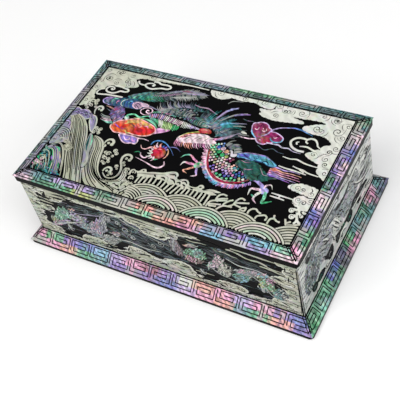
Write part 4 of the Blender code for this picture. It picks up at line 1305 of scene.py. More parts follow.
def draw_pearl(pen, rng):
    """The flaming pearl that the dragon chases, left of the lid's middle."""
    x, y = -17.4, -14.2
    comb(pen, arc(x, y, 4.6, 95, 250, 8), arc(x - 0.6, y + 0.6, 9.2, 100, 262, 8), 9, 1.7,
        ("salmon", "blush", "pearl", "blush"), 5, rng, 0.2, 0.1, 0.2)
    comb(pen, arc(x, y, 4.6, 40, 100, 6), arc(x, y, 8.2, 46, 104, 6), 4, 1.8, ("violet", "blue"), 5,
        rng, 0.1, 0.3)
    pen.stroke(arc(x + 0.4, y, 7.2, -35, 55, 6), 1.0, 5, "salmon")
    pen.plate(disc(x, y, 5.8, 28), 7, "crimson")
    pen.shape(disc(x + 0.4, y + 0.4, 4.7, 10), 8, ("red", "crimson", 0.35))
    for radius, start in ((3.8, 30), (2.6, 160), (1.5, 280)):
        band = arc(x + 0.2, y + 0.2, radius, start, start + 150, 8)
        pen.ribbon(band, 0.8 * swell(len(band), 0.2, 1.0, 0.2), 9, "crimson")
    for stroke in ((arc(x + 0.2, y + 0.6, 3.2, 60, 140, 5), 0.7, 10, "salmon"),
            (((-27.6, -8.4), (-26.4, -4.4), (-21.6, -2.6), (-16.8, -3.6), (-12.6, -6.2), (-9, -9),
            (-5, -13)), 1.2, 6, ("sky", "blue", 0.6), 0.7, 0.15, 0.3),
            (((-12.6, -6.4), (-6.6, -5.3), (-1.8, -7.8)), 0.8, 6, ("blue", "ash", 0.4), 0.6, 0.15),
            (((-35, -11), (-32.6, -13.8), (-29.2, -13.6), (-26, -10.6), (-23.4, -10.4)), 1.2, 6,
            ("salmon", "blush", 0.5), 0.2, 0.6, 0.7), (((-31, -18), (-29.6, -20.6), (-26, -22),
            (-23.8, -20.4)), 1.2, 6, "blush", 0.4, 0.5), (((-36.4, -19.4), (-33, -17.6), (-30.4, -19.4)),
            0.9, 5, "emerald"), (((-32.4, -23.4), (-25.9, -24.8), (-20, -26.2), (-14.2, -27.8),
            (-9.8, -27.2), (-7.2, -24), (-8.8, -20.6)), 1.5, 6, "blush", 0.2, 0.5, 0.7),
            (((-21.4, -19.8), (-18, -21), (-14.6, -20)), 1.8, 5, "green")):
        pen.stroke(*stroke)


# Borders of key pattern

# Upper and lower tint of each turn of the key pattern, from the left
BORDER_TINTS = {
    "lid_front": (("lilac_grey", "blush"), ("teal", "emerald"), ("lavender", "green"), ("lavender", "lime"),
        ("emerald", "moss"), ("ash", "ivory"), ("salmon", "mint"), ("moss", "salmon"), ("salmon", "pink"),
        ("lilac_grey", "sky"), ("violet", "silver"), ("sky", "lavender"), ("mint", "blush")),
    "lid_right": (("pink", "blush"), ("ash", "green"), ("blue", "violet"), ("blush", "pearl"),
        ("emerald", "violet"), ("violet", "blush"), ("lilac_grey", "blue"), ("ash", "blush"),
        ("khaki", "emerald")),
    "lid_back": (("deep_teal", "teal"), ("teal", "ash"), ("deep_teal", "green"), ("teal", "lilac_grey"),
        ("ash", "teal"), ("teal", "deep_teal")),
    "lid_left": (("deep_teal", "teal"), ("ash", "lilac_grey"), ("teal", "ash"),
        ("lilac_grey", "deep_teal")),
    "plinth_front": (("pink", "ash"), ("green", "pink"), ("violet", "salmon"), ("blue", "green"),
        ("sky", "teal"), ("lavender", "violet"), ("pink", "lilac_grey"), ("magenta", "violet"),
        ("violet", "blue"), ("pearl", "lavender"), ("salmon", "pink"), ("pink", "salmon"),
        ("lavender", "teal"), ("pink", "green"), ("violet", "salmon"), ("blue", "violet")),
    "plinth_right": (("emerald", "green"), ("emerald", "mint"), ("green", "emerald"), ("blue", "emerald"),
        ("navy", "charcoal"), ("green", "pink"), ("teal", "ash"), ("emerald", "teal"),
        ("pink", "deep_teal"), ("teal", "navy")),
    "plinth_back": (("teal", "ash"), ("lilac_grey", "green"), ("pink", "teal"), ("ash", "emerald")),
    "plinth_left": (("lilac_grey", "teal"), ("ash", "green"), ("teal", "pink")),
}
# Corners of one turn of the key pattern, along and up it
KEY = ((0.04, 0.0), (0.04, 1.0), (0.93, 1.0), (0.93, 0.0), (0.19, 0.0), (0.19, 0.66), (0.76, 0.66),
    (0.76, 0.33), (0.36, 0.33))


# Key pattern, in millimetres
KEY_MARGINS = {"lid": (1.7, 1.1), "plinth": (2.6, 1.6)}     # left below and above it
KEY_END = 2.2               # from the end of the border to the first turn
EDGE_LINE = 0.5             # width of the dark line along the top and the mitres
MITRE_INSET = 2.1           # from the mitre to the second line beside it
MITRE_TOP = 0.2             # from the upper edge to the end of those two lines
TILES = 4                   # shell tiles of each row for each turn


def sloped_faces(outer, inner):
    """The four sloped faces between two level outlines, with x along each and y up its slope."""
    (ox, oy, oz), (ix, iy, iz) = outer, inner
    faces = {}
    for side, (along, out) in zip(SIDES, (((1, 0), (0, -1)), ((0, 1), (1, 0)), ((-1, 0), (0, 1)),
            ((0, -1), (-1, 0)))):
        far = oy if out[0] == 0 else ox
        near = iy if out[0] == 0 else ix
        low_half = (ox if out[0] == 0 else oy) / MM
        high_half = (ix if out[0] == 0 else iy) / MM
        up = np.array((-out[0] * (far - near), -out[1] * (far - near), iz - oz))
        rise = float(np.linalg.norm(up)) / MM
        origin = (out[0] * far, out[1] * far, oz)
        fence = ((-low_half, 0.0), (low_half, 0.0), (high_half, rise), (-high_half, rise))
        faces[side] = Face(origin, (*along, 0), up, fence)
    return faces


def key_border(inlay, face, tints, below, above, rng):
    """Coloured shell over a sloped face, with a running key pattern in dark lines."""
    sizes = bpy.context.scene.box_inlay
    line, pitch = sizes.key_line / MM, sizes.key_pitch / MM
    low_half, high_half, rise = face.fence[1][0], face.fence[2][0], face.fence[2][1]
    pen = Pen(inlay, face)
    shell_strips(pen, low_half, rise, tints, rng)
    half = low_half - KEY_END
    count = max(3, round(2.0 * half / pitch))
    step = 2.0 * half / count
    tall = rise - below - above
    for k in range(count):
        flip = k % 2 == 1
        path = [(-half + step * (k + x), below + tall * (1.0 - y if flip else y)) for x, y in KEY]
        pen.ribbon(path, line, 4, "line")
    slope = (low_half - high_half) / rise
    for sign in (-1, 1):
        for inset, width in ((0.5 * EDGE_LINE, EDGE_LINE), (MITRE_INSET, 0.9 * line)):
            low_end = (sign * (low_half - inset - slope * below), below)
            high_end = (sign * (high_half - inset), rise - MITRE_TOP)
            pen.ribbon((low_end, high_end), width, 5, "line")
    level = rise - 0.5 * EDGE_LINE
    pen.ribbon(((-low_half, level), (low_half, level)), EDGE_LINE, 5, "line")


def lay_border(solid):
    """Inlays the key pattern all round the lid or the plinth, as one piece."""
    inlay = Inlay()
    rng = random.Random(SEEDS[solid + "_border"])
    below, above = KEY_MARGINS[solid]
    for side, face in sloped_faces(outline_at(solid, "edge"), outline_at(solid, "top")).items():
        key_border(inlay, face, BORDER_TINTS[solid + "_" + side], below, above, rng)
    inlay.build(solid + "_border")


def shell_strips(pen, low_half, rise, tints, rng):
    """Two rows of slanting shell tiles that fill a sloped face, in runs of related tints."""
    count = TILES * len(tints)
    wide = 2.0 * low_half / count
    for row, (low, high) in enumerate(((0.12, 0.46 * rise), (0.46 * rise, rise))):
        cuts = [-low_half + wide * (k + rng.uniform(-0.3, 0.3)) for k in range(count + 1)]
        cuts[0], cuts[-1] = -low_half, low_half
        for k, (start, end) in enumerate(zip(cuts, cuts[1:])):
            here = tints[k // TILES][1 - row]
            place = k % TILES
            after = tints[min(len(tints) - 1, k // TILES + (place == 3))][row if place == 1 else 1 - row]
            lean = 0.5 if 0 < k < count - 1 else 0.0
            tile = ((start, low), (end, low), (end + lean, high), (start + lean, high))
            pen.plate(tile, 1, ((here, after, rng.uniform(0.15, 0.55)), ("ash", "blush", 0.3), 0.26))
            if rng.random() < 0.45:
                x, y = rng.uniform(start, 0.5 * (start + end)), rng.uniform(low, 0.5 * (low + high))
                sliver = ((x, y), (x + 0.4 * (end - x), y), (x + 0.4 * (end - x) + 0.5, high),
                    (x + 0.5, high))
                pen.plate(sliver, 2, ((here, rng.choice(("pearl", "pearl", "charcoal")), 0.5), after, 0.2))


# Walls

# Lacquer left bare round a wall's picture, in millimetres. The wider band at the head is painted shade: it
# keeps the wall's top black, where the lid's overhang shades it.
WALL_SIDE, WALL_FOOT, HEAD_SHADE_MARGIN = 0.6, 0.3, 2.2


def wall_faces():
    """The four walls of the body, with x along each and y up from its foot."""
    foot_x, foot_y, foot_z = outline_at("box_body", "foot")
    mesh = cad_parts["box_body"].data
    points = np.array([vertex.co for vertex in mesh.vertices])
    above = points[points[:, 2] > foot_z + 10 * NEAR]
    ring = above[above[:, 0] > above[:, 0].max() - NEAR]
    rim_z = float(ring[:, 2].max())
    rim_x, rim_y = (float(above[abs(above[:, 2] - rim_z) < NEAR][:, k].max()) for k in (0, 1))
    return sloped_faces((foot_x, foot_y, foot_z), (rim_x, rim_y, rim_z))


def brush(pen, outline, heading, reach, width, gap, tints, level, rng, loose=0.12, mixed=True):
    """Thin strips of shell that fill an outline along one heading, with tints mixed or in order across."""
    outline, turn = np.array(outline, float), math.radians(heading)
    along = np.array((math.cos(turn), math.sin(turn)))
    side = np.array((-along[1], along[0]))
    s, t = outline @ along, outline @ side
    low, high = outline[:, 0].min(), outline[:, 0].max()
    v = t.min() + 0.5 * gap
    while v < t.max():
        u = s.min() - rng.uniform(0.0, reach)
        while u < s.max():
            span = reach * rng.uniform(0.6, 1.3)
            middle = along * (u + 0.5 * span) + side * (v + rng.uniform(-0.3, 0.3) * gap)
            u += span + 0.3 * gap
            if rng.random() < loose or not holds(outline, middle[0], middle[1]):
                continue
            bow = side * rng.uniform(-0.9, 0.9)
            path = np.array((middle - along * 0.5 * span - bow, middle - along * 0.17 * span + 0.2 * bow,
                middle + along * 0.17 * span + 0.2 * bow, middle + along * 0.5 * span - 0.5 * bow))
            wide = width * rng.uniform(0.75, 1.2)
            where = (middle[0] - low) / (high - low) * len(tints) + rng.uniform(-0.7, 0.7)
            tint = rng.choice(tints) if mixed else tints[int(max(0, min(len(tints) - 1, where)))]
            pen.ribbon(path, wide * np.array((0.3, 1.0, 0.9, 0.25)), level, tint)
        v += gap


def slits(pen, outline, gap, level, rng, width=0.5):
    """Short hooked cuts across a cloud bank."""
    for x, y in scatter(np.array(outline, float), gap, 1.0, rng):
        reach = rng.uniform(1.6, 4.4)
        hook = rng.choice((-1, 1)) * rng.uniform(0.4, 1.2)
        path = ((x - reach, y + 0.2 * hook), (x, y), (x + 0.6 * reach, y + 0.1 * hook),
            (x + 0.8 * reach, y + hook))
        pen.stroke(path, width, level, "line", 0.2, 0.6)


def bank(pen, points, tint, rng, lobe=3.4, gap=5.4, level=4):
    """A low cloud bank: a pale lobed edge with curls, and dull and bright streaks across it."""
    guide = smooth(points, 4, True)
    inward = -1.0 if area(guide) < 0.0 else 1.0
    edge = scalloped(guide, (), lobe, 0.34, rng)
    pen.plate(edge, level, tint)
    brush(pen, edge, 6, 9.0, 1.6, 2.5, ("silver", "ivory", "moss", "pearl", "ash"), level + 1, rng, 0.3)
    pen.ribbon(np.vstack((edge, edge[:2])), 0.9, level + 2, ("ivory", "pearl", 0.6))
    slits(pen, edge, gap, level + 3, rng, 0.75)
    rim = offset(guide, 2.1 * inward)
    for x, y in even(rim, int(length(rim) / 4.0)):
        turn = rng.uniform(0, 360)
        curl = arc(x, y, 1.1, turn, turn + 210, 7)
        pen.ribbon(curl, 0.55 * swell(8, 0.3, 1.0, 0.6), level + 3, "line")


def wisps(pen, rows, tint, level, rng):
    """Long level fingers of cloud, each given as start, end and thickness."""
    for x0, y0, x1, y1, width in rows:
        reach = x1 - x0
        path = ((x0, y0), (x0 + 0.3 * reach, y0 + rng.uniform(-0.6, 0.8)),
            (x0 + 0.7 * reach, y1 + rng.uniform(-0.8, 0.6)), (x1, y1))
        pen.stroke(path, width, level, tint, 0.7, 0.2)


def wall_ground(pen, long, rng):
    """Dark strips of sea and sky behind the two dragons."""
    field = ((8, 4), (long - 12, 4), (long - 14, 53), (8, 53))
    dim, wet = ("charcoal", "line", 0.45), ("deep_teal", "line", 0.4)
    brush(pen, field, 3, 11.0, 0.5, 1.9, (dim, wet, "line"), 1, rng, 0.4)
    brush(pen, ((78, 20), (136, 14), (134, 42), (112, 44), (98, 50), (84, 52), (80, 40)), -12, 7.0, 0.75,
        1.3, ("charcoal", dim, wet, "slate", dim), 2, rng, 0.2)
    brush(pen, ((26, 44), (60, 52), (96, 52), (100, 46), (60, 41)), 8, 9.0, 0.65, 1.6,
        (dim, "slate", wet), 2, rng, 0.2)
    brush(pen, ((152, 40), (176, 52), (208, 46), (220, 34), (196, 40)), -14, 9.0, 0.65, 1.6,
        (dim, "charcoal", dim), 2, rng, 0.2)
    for x, y, size, tint in ((94, 36, 4.6, "ash"), (98, 29, 3.4, "silver"), (116, 27, 3.0, "ash"),
            (88, 42, 2.6, "silver"), (124, 33, 3.4, "ash"), (104, 40, 2.4, "slate"), (97, 47, 2.4, "ash"),
            (82, 20, 2.2, "silver"), (88, 11, 1.8, "silver"), (60, 45, 2.6, "slate"),
            (176, 50, 2.4, "slate")):
        scroll(pen, x, y, size, rng.uniform(0, 360), rng.choice((-1, 1)), 4, 0.7, tint)


# Black gaps between the cloud banks: start, end and thickness
WALL_NOTCHES = ((13, 46.6, 27, 46.2, 2.6), (19, 46, 22.4, 53, 2.6), (39, 52.6, 51, 52.8, 1.6),
    (29, 53.6, 37, 53.2, 0.8), (10, 38.4, 25, 37.4, 2.0), (17, 42.6, 31, 42, 1.6), (10, 45, 14, 41, 1.4),
    (11, 27.4, 21, 27.8, 1.9), (18, 29, 26, 32.6, 1.5), (10, 6, 14, 3, 1.0), (60, 2.6, 77, 4.6, 1.6),
    (96, 2.4, 99, 5, 1.2), (106, 2, 110, 4.6, 1.3), (133, 5, 139, 2, 1.1), (120, 8, 126, 4, 0.9),
    (149, 8, 152, 3, 1.2), (104, 50, 113, 51, 1.0), (108, 44, 116, 46, 0.8), (124, 40, 131, 44.6, 1.4),
    (133, 50, 140, 46, 1.2), (140, 55, 146, 53.6, 0.9), (186, 54.4, 201, 53.6, 1.8),
    (182, 49.8, 202, 47.6, 2.6), (213, 48.6, 224, 48.8, 2.4), (216, 48, 218.4, 54, 2.0),
    (206, 44.6, 227, 42.2, 1.8), (213, 32, 226, 26.6, 2.4), (228.4, 44, 227.6, 37, 0.9),
    (226.6, 54, 226, 49, 0.9), (218, 10, 226, 6, 1.0), (205, 4, 212, 6, 1.0), (66, 6, 73, 9, 1.0),
    (88, 8, 91, 14, 1.2), (168, 5.6, 176, 3.6, 1.4), (190, 4, 196, 7, 1.0), (76, 51.4, 90, 53, 1.6),
    (27, 49.4, 44, 50.6, 1.8), (3, 35, 12, 33.4, 1.4), (5, 20, 15, 21.6, 1.6), (98, 9, 110, 12, 1.2),
    (116, 5, 126, 8.6, 1.1), (136, 12, 146, 13.6, 1.2), (160, 55.6, 182, 52.6, 2.8),
    (48, 1.6, 60, 3.4, 1.2), (20, 4, 33, 2, 1.2), (150, 3.6, 160, 5.6, 1.3), (196, 53, 216, 52.2, 1.6),
    (100, 54.6, 122, 53, 1.0), (112, 48.4, 126, 47, 1.0), (78, 3, 92, 5.4, 1.2), (216, 38.6, 224, 35, 1.6),
    (14, 33.4, 24, 35.6, 1.0), (216, 22, 226, 20, 1.6), (32, 54, 46, 55, 1.2))


def wall_banks(pen, tint, rng):
    """The cloud banks round the two dragons, and the strips of cloud between them."""
    for row in ((((0, -2), (0, 60), (14, 60), (15, 52), (8, 49), (12, 45), (9, 41), (12, 38), (24, 35),
            (23, 31), (14, 28), (8, 25), (11, 20), (8, 14), (14, 9), (23, 8), (22, 4), (16, -2)), tint,
            rng), (((13, 60), (24, 47), (33, 46), (37, 49), (45, 53), (76, 53.6), (80, 51), (88, 51.4),
            (96, 53), (100, 49), (108, 48), (112, 42), (120, 40.4), (129, 40.6), (131, 45), (140, 46.6),
            (142, 50), (136, 52.6), (150, 54), (158, 57), (150, 60)), tint, rng),
            (((44, 3.6), (45.4, 8), (50, 9.6), (57, 10.4), (64, 9.6), (69, 7), (68, 4), (60, 2.4),
            (50, 2.2)), tint, rng, 3.0), (((16, -2), (30, 1.6), (60, 1.2), (72, 3.4), (80, 4), (89, 8),
            (91, 14.6), (97, 15.6), (104, 14.6), (110, 11.6), (120, 10.4), (127, 13), (133, 16.4),
            (140, 17), (146, 14.6), (147, 9.6), (156, 4), (166, 3), (196, 3.4), (210, 5), (222, 6),
            (222, -2)), tint, rng), (((168, 6.4), (171, 9.4), (180, 10.4), (189, 10), (192.6, 7.6),
            (189, 4.8), (176, 4.2)), tint, rng, 3.0), (((240, -2), (214, -2), (213, 8), (219, 13),
            (224, 17), (226, 24), (223, 28), (216, 31), (215, 37), (223, 40), (229, 44), (224, 48),
            (230, 52), (220, 56), (222, 60), (240, 60)), tint, rng)):
        bank(pen, *row)
    wisps(pen, ((182, 53.4, 203, 50, 1.7), (186, 56, 222, 55.4, 2.0), (200, 49.6, 224, 46.8, 1.8),
        (207, 46, 229, 43.4, 1.3), (176, 48.4, 190, 46.8, 0.9), (14, 44.6, 28, 43.4, 1.6),
        (9, 41, 27, 40.2, 1.5), (24, 56, 78, 55, 1.7), (12, 36, 25, 33, 2.2), (30, 50, 52, 51.8, 1.2),
        (208, 37, 217, 34.6, 1.2), (138, 56.4, 165, 54.6, 2.0), (150, 50, 166, 51, 1.0),
        (222, 33, 208, 31, 1.0), (60, 13, 78, 8.6, 1.0), (150, 13, 166, 14, 0.9)), tint, 6, rng)
    for y in (52, 46, 36.6, 29, 21.6, 12):
        pen.stroke(((226, y), (229.6, y + 0.4), (232, y - 0.8), (231.6, y - 3.2), (229.6, y - 3)), 0.7, 7,
            "line", 0.3, 0.6)
    pen.stroke(((234.4, 2), (234.8, 20), (234.4, 40), (234.6, 55)), 0.6, 7, "line", 1.0, 1.0)
    for x0, y0, x1, y1, width in WALL_NOTCHES:
        middle = (0.5 * (x0 + x1), 0.5 * (y0 + y1) + rng.uniform(-0.4, 0.4))
        pen.stroke(((x0, y0), middle, (x1, y1)), 1.4 * width, 8, "line", 0.15, 0.15)


# Parts of the two wall dragons: outline, heading of the strips and their tints from left to right
WALL_DRAGONS = ((((17, 14), (22, 16), (25, 21), (21, 24), (16, 20)), 62, ("lime", "moss", "ash")),
    (((22, 21), (27, 21), (33, 25), (40, 28), (41, 34), (37, 40), (30, 37), (24, 29)), 60,
    ("mint", "green", "emerald", "mint")), (((14, 10), (20, 11), (30, 17), (40, 22), (40, 25), (30, 22),
    (18, 15)), 28, ("lilac_grey", "pink", "lavender", "ash")), (((39, 36), (44, 36), (47, 40), (43, 42),
    (39, 40)), 40, ("line", "crimson", "salmon")), (((38, 26), (48, 26), (56, 30), (56, 35), (48, 37),
    (41, 34)), 35, ("slate", "lavender", "navy", "violet")), (((44, 22), (52, 19), (60, 20), (60, 28),
    (50, 27)), 55, ("slate", "teal", "deep_teal")), (((34, 22), (46, 20), (58, 14), (70, 15), (64, 20),
    (50, 24)), 14, ("slate", "charcoal", "lilac_grey", "teal")), (((57, 22), (66, 19), (72, 24), (76, 33),
    (77, 41), (71, 41), (62, 33), (58, 28)), 62, ("lilac_grey", "pink", "lavender", "lilac_grey",
    "silver")), (((72, 38), (80, 40), (84, 46), (78, 48), (72, 43)), 60, ("lilac_grey", "slate", "ash")),
    (((66, 12), (76, 10), (84, 18), (78, 22), (68, 20)), 45, ("silver", "ash", "slate")),
    (((78, 24), (84, 24), (88, 28), (84, 30), (78, 27)), 25, (("salmon", "charcoal", 0.4), "lilac_grey",
    ("salmon", "slate", 0.5))), (((133, 30), (139, 27), (146, 30), (143, 38), (140, 47), (135, 45),
    (133, 38)), 78, (("magenta", "slate", 0.6), "lilac_grey", ("magenta", "ash", 0.3), "slate")),
    (((146, 41), (150, 41), (158, 45), (156, 47), (148, 44)), 25, ("salmon", "khaki", "ash")),
    (((143, 33), (152, 30), (160, 31), (164, 34), (161, 43), (156, 42), (147, 38)), 55,
    ("green", "mint", "emerald", "green")), (((143, 23), (152, 22), (160, 27), (158, 31), (146, 29)), 62,
    (("salmon", "line", 0.3), ("pink", "line", 0.2), "line", ("crimson", "slate", 0.6))),
    (((163, 22), (170, 26), (176, 31), (180, 37), (178, 41), (172, 42), (168, 34), (162, 27)), 60,
    (("mint", "ash", 0.5), "blush", ("pink", "ash", 0.3), "blush", "line")),
    (((169, 22), (178, 18), (184, 24), (184, 34), (178, 34), (173, 29)), 66,
    ("moss", "ivory", "khaki", "line")), (((183, 17), (190, 18), (196, 22), (197, 28), (190, 29),
    (184, 25)), 35, ("mint", "teal", "sky", "teal")), (((184, 29), (196, 29), (206, 32), (214, 33),
    (210, 38), (198, 37), (188, 34)), 50, ("silver", "pink", "slate", "blush", "sky", "pink")),
    (((203, 24), (208, 18), (216, 17), (217, 23), (212, 30), (205, 32)), 55,
    ("lime", "mint", "green", "emerald")), (((210, 27), (215, 26), (217, 31), (213, 36), (209, 33)), 60,
    ("pink", "magenta", "pink")), (((213, 11), (222, 12), (227, 18), (225, 24), (218, 24), (214, 18)), 50,
    ("slate", "teal", "slate", "moss")),)
WALL_CLAWS = ((34.0, 15.0, -75, 0.6, False), (206.0, 17.0, -85, 0.62, True), (156.0, 15.0, -60, 0.5, False))


def wall_dragons(pen, rng):
    """Two long dragons made of short strips of shell, in zones of different tints."""
    for outline, heading, tints in WALL_DRAGONS:
        ground = tints[0] if tints[0] != "line" else "charcoal"
        outline = np.array(outline, float)
        core = outline.mean(axis=0) + 0.8 * (outline - outline.mean(axis=0))
        pen.plate(scalloped(smooth(core, 4, True), (), 3.0, 0.3, rng), 7,
            ((ground, "ash", 0.3), "line", 0.72))
        outline = outline.mean(axis=0) + 1.08 * (outline - outline.mean(axis=0))
        soft = [tint if tint == "line" else (tint, "ash", 0.35) for tint in tints]
        brush(pen, outline, heading, 4.4, 0.95, 1.3, soft, 8, rng, 0.06, False)
        brush(pen, outline, heading + 8, 3.0, 0.5, 2.6, ("line", "line", "pearl"), 9, rng, 0.35)
    lines = (((14, 10), (26, 16), (42, 24), (54, 28)), ((40, 37), (52, 38), (62, 41), (72, 44), (79, 50)),
        ((57, 21), (68, 17), (80, 22)), ((134, 30), (138, 44), (142, 50), (150, 54)), ((163, 26), (172, 19),
        (186, 16)), ((180, 42), (190, 38), (204, 39), (216, 36)), ((186, 28), (198, 30), (206, 24),
        (212, 14), (220, 9)), ((80, 46), (90, 50), (98, 45), (108, 42), (120, 36), (132, 34)),
        ((82, 20), (94, 22), (108, 20), (122, 22)))
    for path in lines:
        pen.stroke(path, 0.9, 9, rng.choice(("lilac_grey", "ash", "silver")), 0.4, 0.3)
    for x, y, turn, size, mirror in WALL_CLAWS:
        claw(pen.at(x, y, turn, size, mirror), ("ash", "slate", "silver", "ash", "lilac_grey"), 10)


# Parts of the grey dragon on a short wall: outline, heading of the strips and their tints
SHORT_WALL = ((((8, 14), (16, 12), (26, 15), (31, 24), (27, 38), (20, 43), (12, 42), (7, 30)), 100,
    ("charcoal", "line", ("slate", "moss", 0.4), "charcoal", "ash")),
    (((12, 51), (24, 49), (28, 45), (22, 42), (14, 45)), 30, ("charcoal", "line", "slate")),
    (((28, 22), (38, 18), (50, 20), (56, 26), (54, 34), (44, 44), (32, 45), (27, 34)), -42,
    ("ash", "lilac_grey", "line", "slate", "slate")), (((26, 46), (40, 45), (60, 40), (66, 42), (62, 46),
    (44, 51), (28, 52)), -6, ("slate", "silver", "charcoal", "line", "silver")),
    (((54, 20), (62, 12), (70, 12), (74, 20), (64, 36), (58, 38), (54, 30)), -58,
    ("pearl", "line", "silver", "pearl", "slate")), (((62, 44), (66, 32), (72, 26), (78, 30), (74, 38),
    (70, 43)), -50, ("slate", "line", "charcoal", "line")), (((76, 20), (90, 18), (104, 24), (108, 36),
    (100, 43), (84, 42), (74, 36)), -30, ("ash", "lilac_grey", "slate", "ash", "slate", "line")),
    (((82, 20), (94, 21), (95, 24), (86, 24)), 10, ("line", "slate", "line")),
    (((104, 26), (118, 24), (130, 26), (132, 32), (118, 31), (108, 30)), 8,
    ("ash", "slate", "silver", "ash")), (((112, 36), (122, 34), (134, 38), (132, 41), (120, 38)), 20,
    ("ash", "line", "slate")), (((108, 19), (126, 20), (131, 24), (118, 24)), 12,
    ("ash", "slate", "line")),)
# Black gaps on a short wall, between the dragon and the cloud at its foot
SHORT_WALL_GAPS = (((15, 12), (20, 12), (25, 8), (22, 4), (17, 6)), ((24, 9), (30, 12), (38, 7.4),
    (35, 4.6), (28, 5)), ((38, 18), (44, 16.4), (52, 18), (54.4, 12), (53, 7), (48, 6), (44, 11)),
    ((60, 17), (63, 17), (68, 13), (66, 9), (61, 8)), ((66, 15.4), (78, 14.4), (90, 16.4), (92, 13.6),
    (78, 11.6), (68, 12.4)), ((81, 14), (88, 14), (92, 10), (89, 5), (83, 7)), ((91, 18), (98, 19),
    (108, 18), (118, 15), (123, 12), (108, 12.6), (94, 13.4)), ((102, 9), (107, 9.6), (109, 6), (104, 5.4)),
    ((13, 49), (18, 47), (17, 44), (13.4, 45)),
    ((66, 43), (80, 40.6), (92, 45), (90, 42.6), (80, 38.6), (67, 40.6)),)


def short_wall(pen, rng):
    """A grey dragon in streaming cloud: pale shell, darker parts, black gaps and long wavy cuts."""
    pen.plate(((0, 0), (140, 0), (140, 60), (0, 60)), 1, "silver")
    brush(pen, ((0, 0), (140, 0), (140, 60), (0, 60)), 4, 13.0, 2.0, 2.6, ("pearl", "silver", "ash",
        "pearl", ("pearl", "blush", 0.4)), 2, rng, 0.3)
    for outline, heading, tints in SHORT_WALL:
        pen.plate(scalloped(smooth(outline, 4, True), (), 4.0, 0.25, rng), 3, (tints[0], "line", 0.45))
        brush(pen, outline, heading, 4.6, 1.2, 1.6, tints, 4, rng, 0.22)
        brush(pen, outline, heading + 14, 3.0, 0.8, 4.4, ("line",), 5, rng, 0.3)
        brush(pen, outline, heading - 50, 1.6, 0.6, 3.4, ("silver", "line", "ash"), 6, rng, 0.5)
    for outline in SHORT_WALL_GAPS:
        pen.plate(scalloped(smooth(outline, 4, True), (), 2.6, 0.3, rng), 6, "line")
    for k, (x, y) in enumerate(((20, 8), (30, 7.6), (48, 12), (64, 12), (86, 9), (98, 15), (110, 15),
            (75, 13))):
        pen.stroke(((x - 2.6, y - 1), (x, y + 0.8), (x + 2.4, y - 0.4)), 0.8, 7,
            ("slate", "emerald", "ash")[k % 3])
    for path in (((58, 35), (63, 27), (68, 20)), ((61, 37), (66, 29), (70, 22)), ((40, 38), (45, 33),
            (49, 28)), ((100, 34), (106, 28), (116, 22), (130, 20)), ((92, 44), (104, 46), (108, 40)),
            ((4, 54), (30, 53), (60, 54.4), (90, 50), (112, 51)), ((66, 8), (74, 9.6), (80, 6)),
            ((94, 10), (101, 11), (112, 9))):
        pen.stroke(path, 1.5, 7, "pearl", 0.4, 0.2)
        pen.stroke(offset(smooth(path, 3), -1.4), 1.1, 7, "line", 0.3, 0.2)
    for x0, y0, x1, y1 in ((45, 50, 66, 49), (46, 42, 62, 38), (66, 53, 84, 52), (96, 50, 112, 49),
            (120, 46, 128, 44), (122, 42, 127, 40), (30, 54, 42, 54.4), (70, 35, 76, 30),
            (104, 30, 122, 28), (40, 32, 50, 26), (42, 38, 52, 31), (114, 24, 128, 25), (120, 8, 130, 6),
            (40, 4, 50, 3)):
        pen.stroke(((x0, y0), (0.5 * (x0 + x1), 0.5 * (y0 + y1) + rng.uniform(-0.6, 0.6)), (x1, y1)), 1.5,
            8, "line", 0.3, 0.2)
    slits(pen, ((0, 0), (7, 0), (8, 57), (0, 57)), 4.4, 6, rng, 0.8)
    slits(pen, ((108, 2), (136, 2), (136, 56), (110, 54), (112, 9)), 5.6, 6, rng, 0.9)
    slits(pen, ((10, 50), (62, 48), (96, 47), (100, 57), (12, 57)), 5.0, 6, rng, 0.9)
    for x, y, size in ((70, 50, 2.6), (90, 51, 2.2), (112, 47, 2.8), (128, 42, 2.6), (120, 8, 2.4),
            (70, 6, 2.2), (40, 6, 2.4)):
        scroll(pen, x, y, size, rng.uniform(0, 360), rng.choice((-1, 1)), 9, 0.7)


def corner_thread(inlay, face, rng):
    """A thread of shell down the rounded corner at the right-hand end of a wall."""
    radius = bpy.context.scene.box_inlay.corner
    half, tall = face.fence[1][0], face.fence[2][1]
    out = np.cross(face.across, (0.0, 0.0, 1.0))
    diagonal = face.across + out
    origin = face.origin + half * MM * face.across - (1.0 - math.sqrt(0.5)) * radius * diagonal
    up = diagonal * float(face.up @ out) + np.array((0.0, 0.0, face.up[2]))
    # The thread stops below the wall's top, whose bare black band is painted shade under the lid's overhang
    wide, low, high = 0.17 * radius / MM, WALL_FOOT, tall - HEAD_SHADE_MARGIN
    thread = Face(origin, face.across - out, up, ((-wide, low), (wide, low), (wide, high), (-wide, high)))
    pen = Pen(inlay, thread)
    cuts = np.linspace(low, high, 15)
    for k, (start, end) in enumerate(zip(cuts, cuts[1:])):
        pen.plate(((-1, start), (1, start), (1, end - 0.3), (-1, end - 0.3)), 1,
            ("khaki", "silver", "ash")[(k + rng.randrange(2)) % 3])


def draw_wall(inlay, face, side):
    """The picture on one wall. The back and the left repeat the front and the right, mirrored."""
    rng = random.Random(SEEDS[side])
    reach, tall = face.fence[2]
    # The wide bare band at the head is painted shade under the lid's overhang
    half, low, high = reach - WALL_SIDE, WALL_FOOT, tall - HEAD_SHADE_MARGIN
    inner = ((-half, low), (half, low), (half, high), (-half, high))
    field = Face(face.origin, face.across, face.up, inner)
    mirror = side in ("back", "left")
    pen = Pen(inlay, field, reach if mirror else -reach, 0.0, 0.0, 1.0, mirror)
    if side in ("right", "left"):
        short_wall(pen, rng)
        return
    wall_ground(pen, 2.0 * reach, rng)
    wall_banks(pen, "khaki", rng)
    wall_dragons(pen, rng)


# Materials

